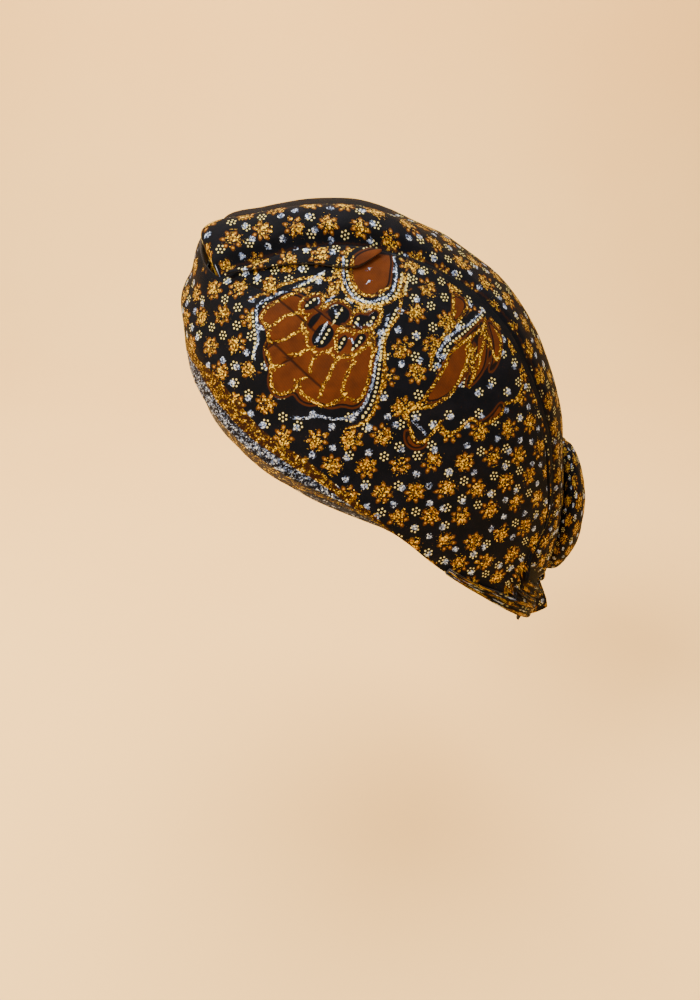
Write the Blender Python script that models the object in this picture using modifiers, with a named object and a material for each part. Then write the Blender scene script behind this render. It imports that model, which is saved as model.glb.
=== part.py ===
# A batik cap: a soft head wrap sewn from printed cotton, shown in the form that it takes on a head.
# Two side panels run from the forehead to the nape and lap over the two halves of the crown.
# Below them show two folded borders, and at the back a pouch, a gathered hem, a knot and its tail.
# +X is the wearer's left, -Y the front and +Z up. The origin is the middle of the head opening.

import math
from collections import namedtuple

import bmesh
import bpy
from mathutils import Vector

MM = 0.001

# The form of the cap's outer face
RIM_TILT = math.radians(42.8)  # the head opening faces down and back
HALF_WIDTH = 79 * MM  # from the middle plane to the side of the head
ROUNDNESS = 2.3  # exponent of the rounded section across the head, 2 for an ellipse

# Walls and clearances
PANEL_WALL = 1.4 * MM
CROWN_WALL = 1.4 * MM
BORDER_WALL = 1.0 * MM
PLEAT_WALL = 1.0 * MM
HEM_WALL = 1.4 * MM
TAIL_WALL = 1.4 * MM
GAP = 0.3 * MM  # between two layers of cloth
SEAM_HALF_GAP = 0.2 * MM  # from a seam in the middle plane to each of its edges
GRID_SHIFT = 0.09  # how far the panel's grid lines move towards its edges

# The lengthwise ridges of the crown, with the valley between them
RIDGE_PLACE = 28 * MM
RIDGE_WIDTH = 10 * MM
RIDGE_RISE = 6 * MM
VALLEY_WIDTH = 13 * MM
VALLEY_DROP = 6 * MM
CENTRE_GROOVE_WIDTH = 3 * MM
CENTRE_GROOVE_DROP = 1.2 * MM
RIDGE_START, RIDGE_FULL, RIDGE_EASE, RIDGE_END = 13, 21, 44, 66  # crown angles in degrees

# Edges
FRONT_EDGE_FLARE = 0.8 * MM  # the front panel's top edge stands off the crown
FRONT_EDGE_CURL = 0.55  # share of the panel's height where it starts to
FRONT_TUCK_DROP = 5 * MM  # the crown's front end goes down behind that edge
FRONT_TUCK_START, FRONT_TUCK_END = 16.2, 19.4  # crown angles where it is all the way down, and up again
CROWN_FRONT, CROWN_BACK = 12.5, 171.5  # crown angles of the crown's two hidden ends
CROWN_EDGE_END = 177  # rim angle in degrees of the seam's point where its side edge ends
FRONT_ROLL_SHARE = 0.12  # of the crown's length lines, which turn down behind that edge
FRONT_ROLL_HALF_WIDTH = 48.5 * MM
CROWN_TUCK = 6 * MM  # the crown's sides go under the side panels
TUCK_FLAT, TUCK_EASE = 2.2 * MM, 8 * MM  # from the seam, where the crown starts to come up and is up
BORDER_TUCK = 3.9  # degrees that the borders go up under the side panels
BORDER_END = 104  # rim angle in degrees where the borders end behind the ear
BORDER_LIFT = 0.4 * MM  # the gold border's lower edge over the form
BORDER_SINK = 1.8 * MM  # its hidden upper edge under the form
EDGE_RUN = 16 * MM  # from the panel's lower edge to where it has come in from over the borders
LIFT_EASE, LIFT_END = 84, 100  # rim angles in degrees between which the layers come in behind the ear

# The pouch at the back of the head, which a soft filling keeps round
POUCH_TOP, POUCH_FOOT = 124.0, 165.0  # crown angles in degrees
POUCH_HALF_WIDTH = 30 * MM
POUCH_RISE = 14 * MM
POUCH_SAG = 0.15  # how much fuller it is at its foot, and slacker at its top
POUCH_UNDERCUT = 0.3  # share of the ball that is flat against the crown

# The gathered hem at the nape
HEM_START, HEM_FULL = 112, 150  # rim angles in degrees where it starts and where it has its full height
HEM_HEIGHT = 7.6 * MM
HEM_NARROW = 0.4  # its height at the start, as a share of the full one
HEM_FOLDS = 3
HEM_FOLD_DEPTH = 0.9 * MM

# The knot, and the tail that hangs from it
KNOT_ANGLE = 167.5  # crown angle in degrees
KNOT_OFFSET = 4.4 * MM
KNOT_HALF_SIZE = Vector((8.0 * MM, 4.6 * MM, 3.3 * MM))  # across, out of the head, along the head
# The share down the tail, its height, its place at the back, its half width and the depth of its fold
TailSection = namedtuple("TailSection", "down height back half_width fold")
TAIL_SECTIONS = [
    TailSection(0, -59.6, 97.4, 5.0, 1.2),
    TailSection(0.35, -66.5, 96.8, 8.8, 4.6),
    TailSection(0.7, -72.4, 96.4, 11.4, 7.3),
    TailSection(1, -78.0, 95.4, 13.4, 9.6),
]

# Gathers of the side panels, which run together towards the knot
GATHER_START, GATHER_FULL, GATHER_END = 0.70, 0.94, 1.0  # shares of the panel's length
GATHER_TOP = 0.8  # share of its height above which they flatten out to the seam
GATHER_COUNT = 3
GATHER_DEPTH = 2.0 * MM

BACKWARD = Vector((0, math.cos(RIM_TILT), -math.sin(RIM_TILT)))  # forehead to nape
UPWARD = Vector((0, math.sin(RIM_TILT), math.cos(RIM_TILT)))  # square to the head opening

# The outline in the middle plane: crown angle from the forehead over the top, and distance from the origin
Outline = namedtuple("Outline", "angle radius")
CROWN_OUTLINE = [
    Outline(-6, 96),
    Outline(-2.5, 101.5),
    Outline(0, 106.5),
    Outline(3, 114.4),
    Outline(8, 127.2),
    Outline(12, 130.8),
    Outline(16.5, 138),
    Outline(20, 140.8),
    Outline(27, 137),
    Outline(36, 134.6),
    Outline(46, 131.8),
    Outline(57, 127.8),
    Outline(70, 122.0),
    Outline(82, 117.2),
    Outline(91, 112.4),
    Outline(101, 107.4),
    Outline(112, 103.3),
    Outline(125, 99.6),
    Outline(140, 99.9),
    Outline(155, 102),
    Outline(168, 107),
    Outline(180, 111),
    Outline(186, 112),
]

# The head opening's edge: rim angle round the head from the forehead, and degrees above the opening's plane.
# fold_rise is the side panel's lower edge, and gold_rise the gold border's, with the silver one down to the rim.
Rim = namedtuple("Rim", "angle rise fold_rise gold_rise")
RIM = [
    Rim(0, -3.7, -0.8, -1.7),
    Rim(20, -4.5, -0.8, -1.6),
    Rim(30, -4.7, -0.7, -1.7),
    Rim(36, -4.2, -0.3, -2.4),
    Rim(43, -3.0, 0.5, -2.2),
    Rim(49, -1.9, 1.6, -1.5),
    Rim(55, -0.8, 3.0, -0.2),
    Rim(60, 0.9, 4.5, 1.9),
    Rim(65, 2.4, 6.3, 4.4),
    Rim(70, 4.2, 8.0, 6.5),
    Rim(75, 6.1, 9.7, 8.4),
    Rim(80, 8.0, 11.0, 9.9),
    Rim(88, 10.7, 12.0, 11.2),
    Rim(96, 11.7, 12.0, 11.8),
    Rim(106, 11.6, 11.6, 11.6),
    Rim(126, 11.2, 11.2, 11.2),
    Rim(136, 10.5, 10.5, 10.5),
    Rim(150, 8.8, 8.8, 8.8),
    Rim(165, 6.2, 6.2, 6.2),
    Rim(180, 5.0, 5.0, 5.0),
]

# The side panel's upper edge, and the rim angle that each of its points stands over.
# The first rows are the edge that stands across the forehead. The others are the long seam to the nape.
Seam = namedtuple("Seam", "rim_angle crown_angle out")
SEAM = [
    Seam(0, 16.4, 0),
    Seam(12, 16.7, 17),
    Seam(24, 17.0, 33),
    Seam(31, 17.8, 40.5),
    Seam(36, 19.6, 45.4),
    Seam(42, 25, 44.6),
    Seam(48, 31, 42.8),
    Seam(56, 40, 41.5),
    Seam(64, 50, 40.8),
    Seam(72, 59, 40.1),
    Seam(80, 68, 39.7),
    Seam(90, 78.5, 41.6),
    Seam(100, 89, 44.3),
    Seam(110, 100, 45.4),
    Seam(120, 112, 45.6),
    Seam(130, 124, 45.2),
    Seam(140, 134, 48.2),
    Seam(150, 144, 55.2),
    Seam(158, 152, 57.0),
    Seam(166, 159.5, 45.0),
    Seam(173, 165, 25.0),
    Seam(180, 168.4, 0),
]
CORNER = SEAM[4]  # where the standing edge turns into the long seam
CORNER_RUN = 8  # rim angle over which it lies down towards that corner
# Near the nape the panel's lines lean forward by these degrees, so that they don't cross where its seam turns
LEAN, LEAN_START, LEAN_FULL, LEAN_EASE, LEAN_END = 19, 110, 158, 163, 180
LONG_SEAM = SEAM[4:]

# The lower edge of the pleat that lies along the front of the long seam
Pleat = namedtuple("Pleat", "crown_angle out")
SIDE_PLEAT = [
    Pleat(20.4, 46.2),
    Pleat(26, 46.0),
    Pleat(32, 46.4),
    Pleat(38, 47.4),
    Pleat(42, 48.4),
    Pleat(45, 48.0),
    Pleat(48, 45.0),
    Pleat(50, 41.8),
]

Finish = namedtuple("Finish", "colour roughness metallic")
BATIK = Finish((0.05, 0.045, 0.045), 0.72, 0.0)
BATIK_GOLD = Finish((0.30, 0.17, 0.05), 0.62, 0.0)
BORDER_GOLD = Finish((0.52, 0.34, 0.10), 0.45, 0.35)
BORDER_SILVER = Finish((0.42, 0.41, 0.44), 0.45, 0.35)


def smooth_curve(keys, values):
    """A curve through the values that doesn't swing past them."""
    count = len(keys)
    steps = [keys[i + 1] - keys[i] for i in range(count - 1)]
    rises = [(values[i + 1] - values[i]) / steps[i] for i in range(count - 1)]
    slopes = [rises[0]]
    for before, after in zip(rises, rises[1:]):
        same_way = before * after > 0
        slopes.append(2 * before * after / (before + after) if same_way else 0.0)
    slopes.append(rises[-1])

    def value_at(key):
        key = min(max(key, keys[0]), keys[-1])
        i = max(j for j in range(count - 1) if keys[j] <= key)
        step = steps[i]
        t = (key - keys[i]) / step
        return (
            (1 + 2 * t) * (1 - t) ** 2 * values[i]
            + t * (1 - t) ** 2 * step * slopes[i]
            + t * t * (3 - 2 * t) * values[i + 1]
            + t * t * (t - 1) * step * slopes[i + 1]
        )

    return value_at


def column_curve(rows, key, column):
    return smooth_curve([getattr(row, key) for row in rows], [getattr(row, column) for row in rows])


outline_radius = column_curve(CROWN_OUTLINE, "angle", "radius")
rim_rise = column_curve(RIM, "angle", "rise")
fold_rise = column_curve(RIM, "angle", "fold_rise")
gold_rise = column_curve(RIM, "angle", "gold_rise")
seam_crown_angle = column_curve(SEAM, "rim_angle", "crown_angle")
seam_out = column_curve(SEAM, "rim_angle", "out")
seam_out_at_crown_angle = column_curve(LONG_SEAM, "crown_angle", "out")
pleat_out = column_curve(SIDE_PLEAT, "crown_angle", "out")
tail_height = column_curve(TAIL_SECTIONS, "down", "height")
tail_back = column_curve(TAIL_SECTIONS, "down", "back")
tail_half_width = column_curve(TAIL_SECTIONS, "down", "half_width")
tail_fold = column_curve(TAIL_SECTIONS, "down", "fold")


def ease(value, start, end):
    """0 before start and 1 after end, with a soft turn at both."""
    t = min(max((value - start) / (end - start), 0.0), 1.0)
    return t * t * (3 - 2 * t)


def crown_angle_of(point):
    angle = math.degrees(math.atan2(point.dot(UPWARD), -point.dot(BACKWARD)))
    return angle + 360 if angle < -90 else angle


def form_level(point):
    """Under 1 inside the form, 1 on it and over 1 outside it."""
    along = math.hypot(point.dot(UPWARD), point.dot(BACKWARD))
    radius = outline_radius(crown_angle_of(point)) * MM
    return (abs(point.x) / HALF_WIDTH) ** ROUNDNESS + (along / radius) ** ROUNDNESS


def form_normal(point):
    step = 0.2 * MM
    slope = [
        form_level(point + Vector(axis) * step) - form_level(point - Vector(axis) * step)
        for axis in ((1, 0, 0), (0, 1, 0), (0, 0, 1))
    ]
    return Vector(slope).normalized()


def on_form(direction, offset=0.0):
    """The point of the form in this direction, moved out along the form's normal."""
    point = direction * form_level(direction) ** (-1 / ROUNDNESS)
    return point + form_normal(point) * offset if offset else point


def rim_direction(rim_angle, rise):
    around, above = math.radians(rim_angle), math.radians(rise)
    level = Vector((math.sin(around), 0, 0)) - BACKWARD * math.cos(around)
    return level * math.cos(above) + UPWARD * math.sin(above)


def crown_direction(crown_angle, out):
    """The direction of the form's point at this crown angle and distance out from the middle plane."""
    angle = math.radians(crown_angle)
    along = (1 - (out / HALF_WIDTH) ** ROUNDNESS) ** (1 / ROUNDNESS)
    in_plane = UPWARD * math.sin(angle) - BACKWARD * math.cos(angle)
    return (in_plane * outline_radius(crown_angle) * MM * along + Vector((out, 0, 0))).normalized()


def between(start, end, share):
    return start.slerp(end, share)


def middle_clear(point):
    """The point, moved to the edge of the seam's gap where it would reach past the middle plane."""
    return Vector((max(point.x, SEAM_HALF_GAP), point.y, point.z))


def seam_direction(rim_angle):
    return crown_direction(seam_crown_angle(rim_angle), seam_out(rim_angle) * MM)


def panel_foot_direction(rim_angle):
    leaning = ease(rim_angle, LEAN_START, LEAN_FULL) * (1 - ease(rim_angle, LEAN_EASE, LEAN_END))
    foot_angle = rim_angle - LEAN * leaning
    return rim_direction(foot_angle, fold_rise(foot_angle))


def towards_crown(rim_angle):
    """From a point of the long seam, the direction along the form and square to the seam, away from the panel."""
    here = on_form(seam_direction(rim_angle))
    seam_run = on_form(seam_direction(rim_angle + 0.5)) - on_form(seam_direction(rim_angle - 0.5))
    return here.cross(seam_run).normalized()


SEAM_POINTS = [
    (on_form(seam_direction(angle)), towards_crown(angle)) for angle in range(CORNER.rim_angle, 180)
]


def distance_inside_seam(point):
    """From the long seam to a point of the form: over 0 on the crown, under 0 beneath the side panel."""
    nearest, crownwards = min(SEAM_POINTS, key=lambda pair: (pair[0] - point).length_squared)
    return (point - nearest).dot(crownwards)


def crown_relief(point):
    """How far the crown lies above the form: ridges, valley, groove, and the tucks at its front and sides."""
    crown_angle, out = crown_angle_of(point), point.x
    ridged = ease(crown_angle, RIDGE_START, RIDGE_FULL) * (1 - ease(crown_angle, RIDGE_EASE, RIDGE_END))
    relief = ridged * RIDGE_RISE * math.exp(-(((out - RIDGE_PLACE) / RIDGE_WIDTH) ** 2))
    relief -= ridged * VALLEY_DROP * math.exp(-((out / VALLEY_WIDTH) ** 2))
    relief -= CENTRE_GROOVE_DROP * math.exp(-((out / CENTRE_GROOVE_WIDTH) ** 2))
    tuck = 1 - ease(distance_inside_seam(point), TUCK_FLAT, TUCK_EASE)
    relief = relief * (1 - tuck) - (PANEL_WALL + 2 * GAP) * tuck
    front = 1 - ease(crown_angle, FRONT_TUCK_START, FRONT_TUCK_END)
    return min(relief, relief * (1 - front) - FRONT_TUCK_DROP * front)


def new_object(name, mesh, finish, collection):
    mesh.shade_smooth()
    obj = bpy.data.objects.new(name, mesh)
    material = bpy.data.materials.new(name)
    material.use_nodes = True
    shader = material.node_tree.nodes["Principled BSDF"]
    shader.inputs["Base Color"].default_value = (*finish.colour, 1)
    shader.inputs["Roughness"].default_value = finish.roughness
    shader.inputs["Metallic"].default_value = finish.metallic
    mesh.materials.append(material)
    collection.objects.link(obj)
    return obj


def add_sheet(name, columns, rows, point_at, wall, finish, collection, side=1):
    """A sheet of cloth on a grid, where point_at gives the outer face at two shares from 0 to 1."""
    bm = bmesh.new()
    bmesh.ops.create_grid(bm, x_segments=columns, y_segments=rows, size=0.5)
    for vert in bm.verts:
        point = point_at(vert.co.x + 0.5, vert.co.y + 0.5)
        vert.co = Vector((point.x * side, point.y, point.z))
    bm.normal_update()
    outward = sum(face.normal.dot(face.calc_center_median()) * face.calc_area() for face in bm.faces)
    if outward < 0:
        bmesh.ops.reverse_faces(bm, faces=bm.faces)
    mesh = bpy.data.meshes.new(name)
    bm.to_mesh(mesh)
    bm.free()
    obj = new_object(name, mesh, finish, collection)
    solidify = obj.modifiers.new("cloth", "SOLIDIFY")
    solidify.thickness = wall
    solidify.offset = -1
    solidify.use_quality_normals = True
    return obj


def lift_over_borders(rim_angle):
    """1 where the borders show under the panel, and 0 where all layers have come together behind the ear."""
    return 1 - ease(rim_angle, LIFT_EASE, LIFT_END)


def panel_point(along, up):
    """The side panel from its lower edge, up 0, to its seam, up 1, and from the forehead, along 0, to the nape."""
    rim_angle = along * 180
    foot, top = panel_foot_direction(rim_angle), seam_direction(rim_angle)
    direction = between(foot, top, up)
    height = on_form(direction).length * foot.angle(top) * up
    over_borders = (BORDER_LIFT + GAP + PANEL_WALL) * lift_over_borders(rim_angle) * (1 - ease(height, 0, EDGE_RUN))
    standing = 1 - ease(rim_angle, CORNER.rim_angle - CORNER_RUN, CORNER.rim_angle)
    flare = FRONT_EDGE_FLARE * standing * ease(up, FRONT_EDGE_CURL, 1)
    gathered = ease(along, GATHER_START, GATHER_FULL) * (1 - ease(along, GATHER_FULL, GATHER_END))
    gathered *= ease(height, HEM_HEIGHT, 2 * HEM_HEIGHT) * (1 - ease(up, GATHER_TOP, 1))
    gather = GATHER_DEPTH * gathered * (0.5 - 0.5 * math.cos(2 * math.pi * GATHER_COUNT * up))
    return middle_clear(on_form(direction, over_borders + flare + gather))


def dense_at_ends(share):
    """Moves grid lines towards both ends, where the edges turn most."""
    return share - GRID_SHIFT * math.sin(2 * math.pi * share)


def add_side_panel(side_name, side, collection):
    add_sheet(
        "side_panel_" + side_name,
        columns=42,
        rows=10,
        point_at=lambda along, up: panel_point(along, dense_at_ends(up)),
        wall=PANEL_WALL,
        finish=BATIK_GOLD,
        collection=collection,
        side=side,
    )


def crown_edge(share):
    """The crown's side edge, under the side panel, from behind the forehead's edge to the nape."""
    rim_angle = CORNER.rim_angle + share * (CROWN_EDGE_END - CORNER.rim_angle)
    return (on_form(seam_direction(rim_angle)) - towards_crown(rim_angle) * CROWN_TUCK).normalized()


def crown_point(along, across):
    """The crown's half from the middle, across 0, to its side edge, and from the front, along 0, to the nape."""
    roll_end = CORNER.crown_angle + 1
    if along < FRONT_ROLL_SHARE:
        share = along / FRONT_ROLL_SHARE
        middle_angle = CROWN_FRONT + share * (roll_end - CROWN_FRONT)
        edge = between(crown_direction(middle_angle, FRONT_ROLL_HALF_WIDTH), crown_edge(0), share)
    else:
        share = (along - FRONT_ROLL_SHARE) / (1 - FRONT_ROLL_SHARE)
        middle_angle = roll_end + share * (CROWN_BACK - roll_end)
        edge = crown_edge(share)
    direction = between(crown_direction(middle_angle, 0), edge, across)
    return middle_clear(on_form(direction, crown_relief(on_form(direction))))


def add_crown_half(side_name, side, collection):
    add_sheet(
        "crown_half_" + side_name,
        columns=38,
        rows=10,
        point_at=crown_point,
        wall=CROWN_WALL,
        finish=BATIK_GOLD,
        collection=collection,
        side=side,
    )


def border_point(along, up, lower_rise, layer):
    """A border from its lower edge to its hidden upper edge, along 0 at the forehead and 1 behind the ear."""
    rim_angle = along * BORDER_END
    foot = rim_direction(rim_angle, lower_rise(rim_angle))
    top_rise = fold_rise(rim_angle) + BORDER_TUCK
    lifted = lift_over_borders(rim_angle) * (1 - up)
    offset = (BORDER_LIFT + BORDER_SINK) * lifted - BORDER_SINK - layer
    return middle_clear(on_form(between(foot, rim_direction(rim_angle, top_rise), up), offset))


def add_border(name, side, lower_rise, layer, finish, collection):
    add_sheet(
        name,
        columns=26,
        rows=2,
        point_at=lambda along, up: border_point(along, up, lower_rise, layer),
        wall=BORDER_WALL,
        finish=finish,
        collection=collection,
        side=side,
    )


def side_pleat_point(along, down):
    """The pleat from the seam, down 0, to its folded lower edge."""
    first, last = SIDE_PLEAT[0].crown_angle, SIDE_PLEAT[-1].crown_angle
    crown_angle = first + along * (last - first)
    upper = crown_direction(crown_angle, seam_out_at_crown_angle(crown_angle) * MM + GAP)
    lower = crown_direction(crown_angle, pleat_out(crown_angle) * MM + GAP)
    return on_form(between(upper, lower, down), GAP + PLEAT_WALL)


def add_side_pleat(side_name, side, collection):
    add_sheet(
        "side_pleat_" + side_name,
        columns=16,
        rows=2,
        point_at=side_pleat_point,
        wall=PLEAT_WALL,
        finish=BATIK_GOLD,
        collection=collection,
        side=side,
    )


def hem_point(along, up):
    """The gathered hem round the nape, from behind one ear to behind the other, and up from the rim."""
    rim_angle = HEM_START + along * (360 - 2 * HEM_START)
    mirrored = min(rim_angle, 360 - rim_angle)
    nearness = ease(mirrored, HEM_START, HEM_FULL)
    height = HEM_HEIGHT * (HEM_NARROW + (1 - HEM_NARROW) * nearness)
    foot = on_form(rim_direction(rim_angle, rim_rise(mirrored)))
    direction = (foot + UPWARD * height * up).normalized()
    folds = HEM_FOLD_DEPTH * nearness * (1 - math.cos(2 * math.pi * HEM_FOLDS * up))
    return on_form(direction, GAP + HEM_WALL + folds / 2)


def add_nape_hem(collection):
    add_sheet(
        "nape_hem",
        columns=36,
        rows=HEM_FOLDS * 2,
        point_at=hem_point,
        wall=HEM_WALL,
        finish=BATIK,
        collection=collection,
    )


def add_pouch(collection):
    """A ball pressed flat against the back of the crown."""
    bm = bmesh.new()
    bmesh.ops.create_uvsphere(bm, u_segments=20, v_segments=14, radius=1)
    middle = (POUCH_TOP + POUCH_FOOT) / 2
    half_length = (POUCH_FOOT - POUCH_TOP) / 2
    for vert in bm.verts:
        across, along, out = vert.co
        height = max(out + POUCH_UNDERCUT, 0) / (1 + POUCH_UNDERCUT) * (1 + POUCH_SAG * along)
        direction = crown_direction(middle + along * half_length, abs(across) * POUCH_HALF_WIDTH)
        point = on_form(direction, 2 * GAP + POUCH_RISE * height)
        vert.co = Vector((math.copysign(point.x, across), point.y, point.z))
    bm.normal_update()
    bmesh.ops.recalc_face_normals(bm, faces=bm.faces)
    mesh = bpy.data.meshes.new("back_pouch")
    bm.to_mesh(mesh)
    bm.free()
    new_object("back_pouch", mesh, BATIK_GOLD, collection)


def add_knot(collection):
    """The cloth wound round itself where the panels, the pouch and the tail meet."""
    bm = bmesh.new()
    bmesh.ops.create_uvsphere(bm, u_segments=16, v_segments=8, radius=1)
    base = on_form(crown_direction(KNOT_ANGLE, 0))
    out_of_head = form_normal(base)
    down_the_head = Vector((1, 0, 0)).cross(out_of_head)
    for vert in bm.verts:
        across, along, out = vert.co
        vert.co = (
            base
            + Vector((1, 0, 0)) * across * KNOT_HALF_SIZE.x
            + out_of_head * (KNOT_OFFSET + out * KNOT_HALF_SIZE.y)
            + down_the_head * along * KNOT_HALF_SIZE.z
        )
    bm.normal_update()
    bmesh.ops.recalc_face_normals(bm, faces=bm.faces)
    mesh = bpy.data.meshes.new("nape_knot")
    bm.to_mesh(mesh)
    bm.free()
    new_object("nape_knot", mesh, BATIK, collection)


def tail_point(across, down):
    """The tail's folded sheet, narrow at the knot and fanned out at its foot. Its side edges curl to the front."""
    share = 2 * across - 1
    wave = math.cos(math.pi * share)
    return Vector((tail_half_width(down) * share, tail_back(down) + tail_fold(down) * wave, tail_height(down))) * MM


def add_tail(collection):
    add_sheet(
        "nape_tail",
        columns=24,
        rows=5,
        point_at=tail_point,
        wall=TAIL_WALL,
        finish=BATIK,
        collection=collection,
    )


def main():
    for obj in list(bpy.data.objects):
        bpy.data.objects.remove(obj)
    collection = bpy.data.collections.new("batik_cap")
    bpy.context.scene.collection.children.link(collection)
    for side_name, side in (("left", 1), ("right", -1)):
        add_side_panel(side_name, side, collection)
        add_crown_half(side_name, side, collection)
        add_side_pleat(side_name, side, collection)
        add_border("gold_border_" + side_name, side, gold_rise, 0, BORDER_GOLD, collection)
        add_border("silver_border_" + side_name, side, rim_rise, BORDER_WALL + GAP, BORDER_SILVER, collection)
    add_pouch(collection)
    add_nape_hem(collection)
    add_knot(collection)
    add_tail(collection)


main()
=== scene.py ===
import math

import bmesh
import bpy
import numpy as np
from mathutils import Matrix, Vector


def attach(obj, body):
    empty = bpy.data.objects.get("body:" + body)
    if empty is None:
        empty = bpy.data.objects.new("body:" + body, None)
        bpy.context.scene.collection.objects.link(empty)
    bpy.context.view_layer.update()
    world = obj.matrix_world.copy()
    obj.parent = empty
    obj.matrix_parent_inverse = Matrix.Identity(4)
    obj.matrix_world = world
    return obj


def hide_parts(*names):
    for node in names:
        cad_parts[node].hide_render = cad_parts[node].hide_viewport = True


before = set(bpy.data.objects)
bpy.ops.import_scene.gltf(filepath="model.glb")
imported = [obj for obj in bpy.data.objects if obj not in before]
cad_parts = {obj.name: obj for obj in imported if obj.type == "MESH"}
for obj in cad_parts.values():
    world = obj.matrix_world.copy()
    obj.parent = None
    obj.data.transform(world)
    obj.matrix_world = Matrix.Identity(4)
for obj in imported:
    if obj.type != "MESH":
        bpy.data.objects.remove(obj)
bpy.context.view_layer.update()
mm = 0.001

# The form that all layers of the cap follow: it is the same one as in the solids

form = {
    "tilt": math.radians(42.8),  # the head opening faces down and back
    "halfWidth": 79 * mm,
    "roundness": 2.3,
    "gap": 0.3 * mm,
    # crown angle and distance from the origin, in the middle plane
    "outline": [
        (-6, 96), (-2.5, 101.5), (0, 106.5), (3, 114.4), (8, 127.2), (12, 130.8), (16.5, 138),
        (20, 140.8), (27, 137), (36, 134.6), (46, 131.8), (57, 127.8), (70, 122.0), (82, 117.2),
        (91, 112.4), (101, 107.4), (112, 103.3), (125, 99.6), (140, 99.9), (155, 102), (168, 107),
        (180, 111), (186, 112),
    ],
    # rim angle, and the heights of the rim, the panel's fold and the gold border's fold
    "rim": [
        (0, -3.7, -0.8, -1.7), (20, -4.5, -0.8, -1.6), (30, -4.7, -0.7, -1.7),
        (36, -4.2, -0.3, -2.4), (43, -3.0, 0.5, -2.2), (49, -1.9, 1.6, -1.5),
        (55, -0.8, 3.0, -0.2), (60, 0.9, 4.5, 1.9), (65, 2.4, 6.3, 4.4), (70, 4.2, 8.0, 6.5),
        (75, 6.1, 9.7, 8.4), (80, 8.0, 11.0, 9.9), (88, 10.7, 12.0, 11.2), (96, 11.7, 12.0, 11.8),
        (106, 11.6, 11.6, 11.6), (126, 11.2, 11.2, 11.2), (136, 10.5, 10.5, 10.5),
        (150, 8.8, 8.8, 8.8), (165, 6.2, 6.2, 6.2), (180, 5.0, 5.0, 5.0),
    ],
    # rim angle below each point of the seam, its crown angle and its distance from the middle
    "seam": [
        (0, 16.4, 0), (12, 16.7, 17), (24, 17.0, 33), (31, 17.8, 40.5), (36, 19.6, 45.4),
        (42, 25, 44.6), (48, 31, 42.8), (56, 40, 41.5), (64, 50, 40.8), (72, 59, 40.1),
        (80, 68, 39.7), (90, 78.5, 41.6), (100, 89, 44.3), (110, 100, 45.4), (120, 112, 45.6),
        (130, 124, 45.2), (140, 134, 48.2), (150, 144, 55.2), (158, 152, 57.0), (166, 159.5, 45.0),
        (173, 165, 25.0), (180, 168.4, 0),
    ],
    "cornerRimAngle": 36,
    "lean": (19, 110, 158, 163, 180),  # degrees that the panel's lines lean forward near the nape, and where
}
backward = np.array([0, math.cos(form["tilt"]), -math.sin(form["tilt"])])
upward = np.array([0, math.sin(form["tilt"]), math.cos(form["tilt"])])
sideways = np.array([1.0, 0, 0])


def smoothCurve(rows, key=0, column=1):  # a curve through a table's values that doesn't swing past them
    keys = [row[key] for row in rows]
    values = [row[column] for row in rows]
    steps = np.diff(keys)
    rises = np.diff(values) / steps
    slopes = [rises[0]]
    for before, after in zip(rises, rises[1:]):
        slopes.append(2 * before * after / (before + after) if before * after > 0 else 0.0)
    slopes.append(rises[-1])
    fine = np.linspace(keys[0], keys[-1], 1441)
    i = np.clip(np.searchsorted(keys, fine, side="right") - 1, 0, len(steps) - 1)
    values, slopes, step = np.array(values, float), np.array(slopes), steps[i]
    t = (fine - np.array(keys, float)[i]) / step
    bend = (
        (1 + 2 * t) * (1 - t) ** 2 * values[i] + t * (1 - t) ** 2 * step * slopes[i]
        + t * t * (3 - 2 * t) * values[i + 1] + t * t * (t - 1) * step * slopes[i + 1]
    )
    return lambda key: np.interp(key, fine, bend)


outlineRadius = smoothCurve(form["outline"])
rimRise = smoothCurve(form["rim"], 0, 1)
foldRise = smoothCurve(form["rim"], 0, 2)
goldRise = smoothCurve(form["rim"], 0, 3)
seamCrownAngle = smoothCurve(form["seam"], 0, 1)
seamOut = smoothCurve(form["seam"], 0, 2)
longSeam = [row for row in form["seam"] if row[0] >= form["cornerRimAngle"]]
seamOutAt = smoothCurve(longSeam, 1, 2)


def ease(value, start, end):
    t = np.clip((value - start) / (end - start), 0, 1)
    return t * t * (3 - 2 * t)


def length(vectors):
    return np.sqrt((vectors**2).sum(-1))


def unit(vectors):
    return vectors / np.maximum(length(vectors), 1e-12)[..., None]


def crownAngleOf(points):
    angle = np.degrees(np.arctan2(points @ upward, -(points @ backward)))
    return np.where(angle < -90, angle + 360, angle)


def formLevel(points):
    along = np.hypot(points @ upward, points @ backward)
    reach = outlineRadius(crownAngleOf(points)) * mm
    n = form["roundness"]
    return (np.abs(points[..., 0]) / form["halfWidth"]) ** n + (along / reach) ** n


def formNormal(points):
    step = 0.2 * mm
    slope = [formLevel(points + axis * step) - formLevel(points - axis * step) for axis in np.eye(3)]
    return unit(np.stack(slope, -1))


def onForm(directions, offset=0.0):
    points = directions * (formLevel(directions) ** (-1 / form["roundness"]))[..., None]
    return points + formNormal(points) * np.asarray(offset)[..., None] * np.ones(points.shape[:-1] + (1,))


def rimDirection(rimAngle, rise):
    around, above = np.radians(rimAngle), np.radians(rise)
    level = np.sin(around)[..., None] * sideways - np.cos(around)[..., None] * backward
    return level * np.cos(above)[..., None] + np.sin(above)[..., None] * upward


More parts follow.
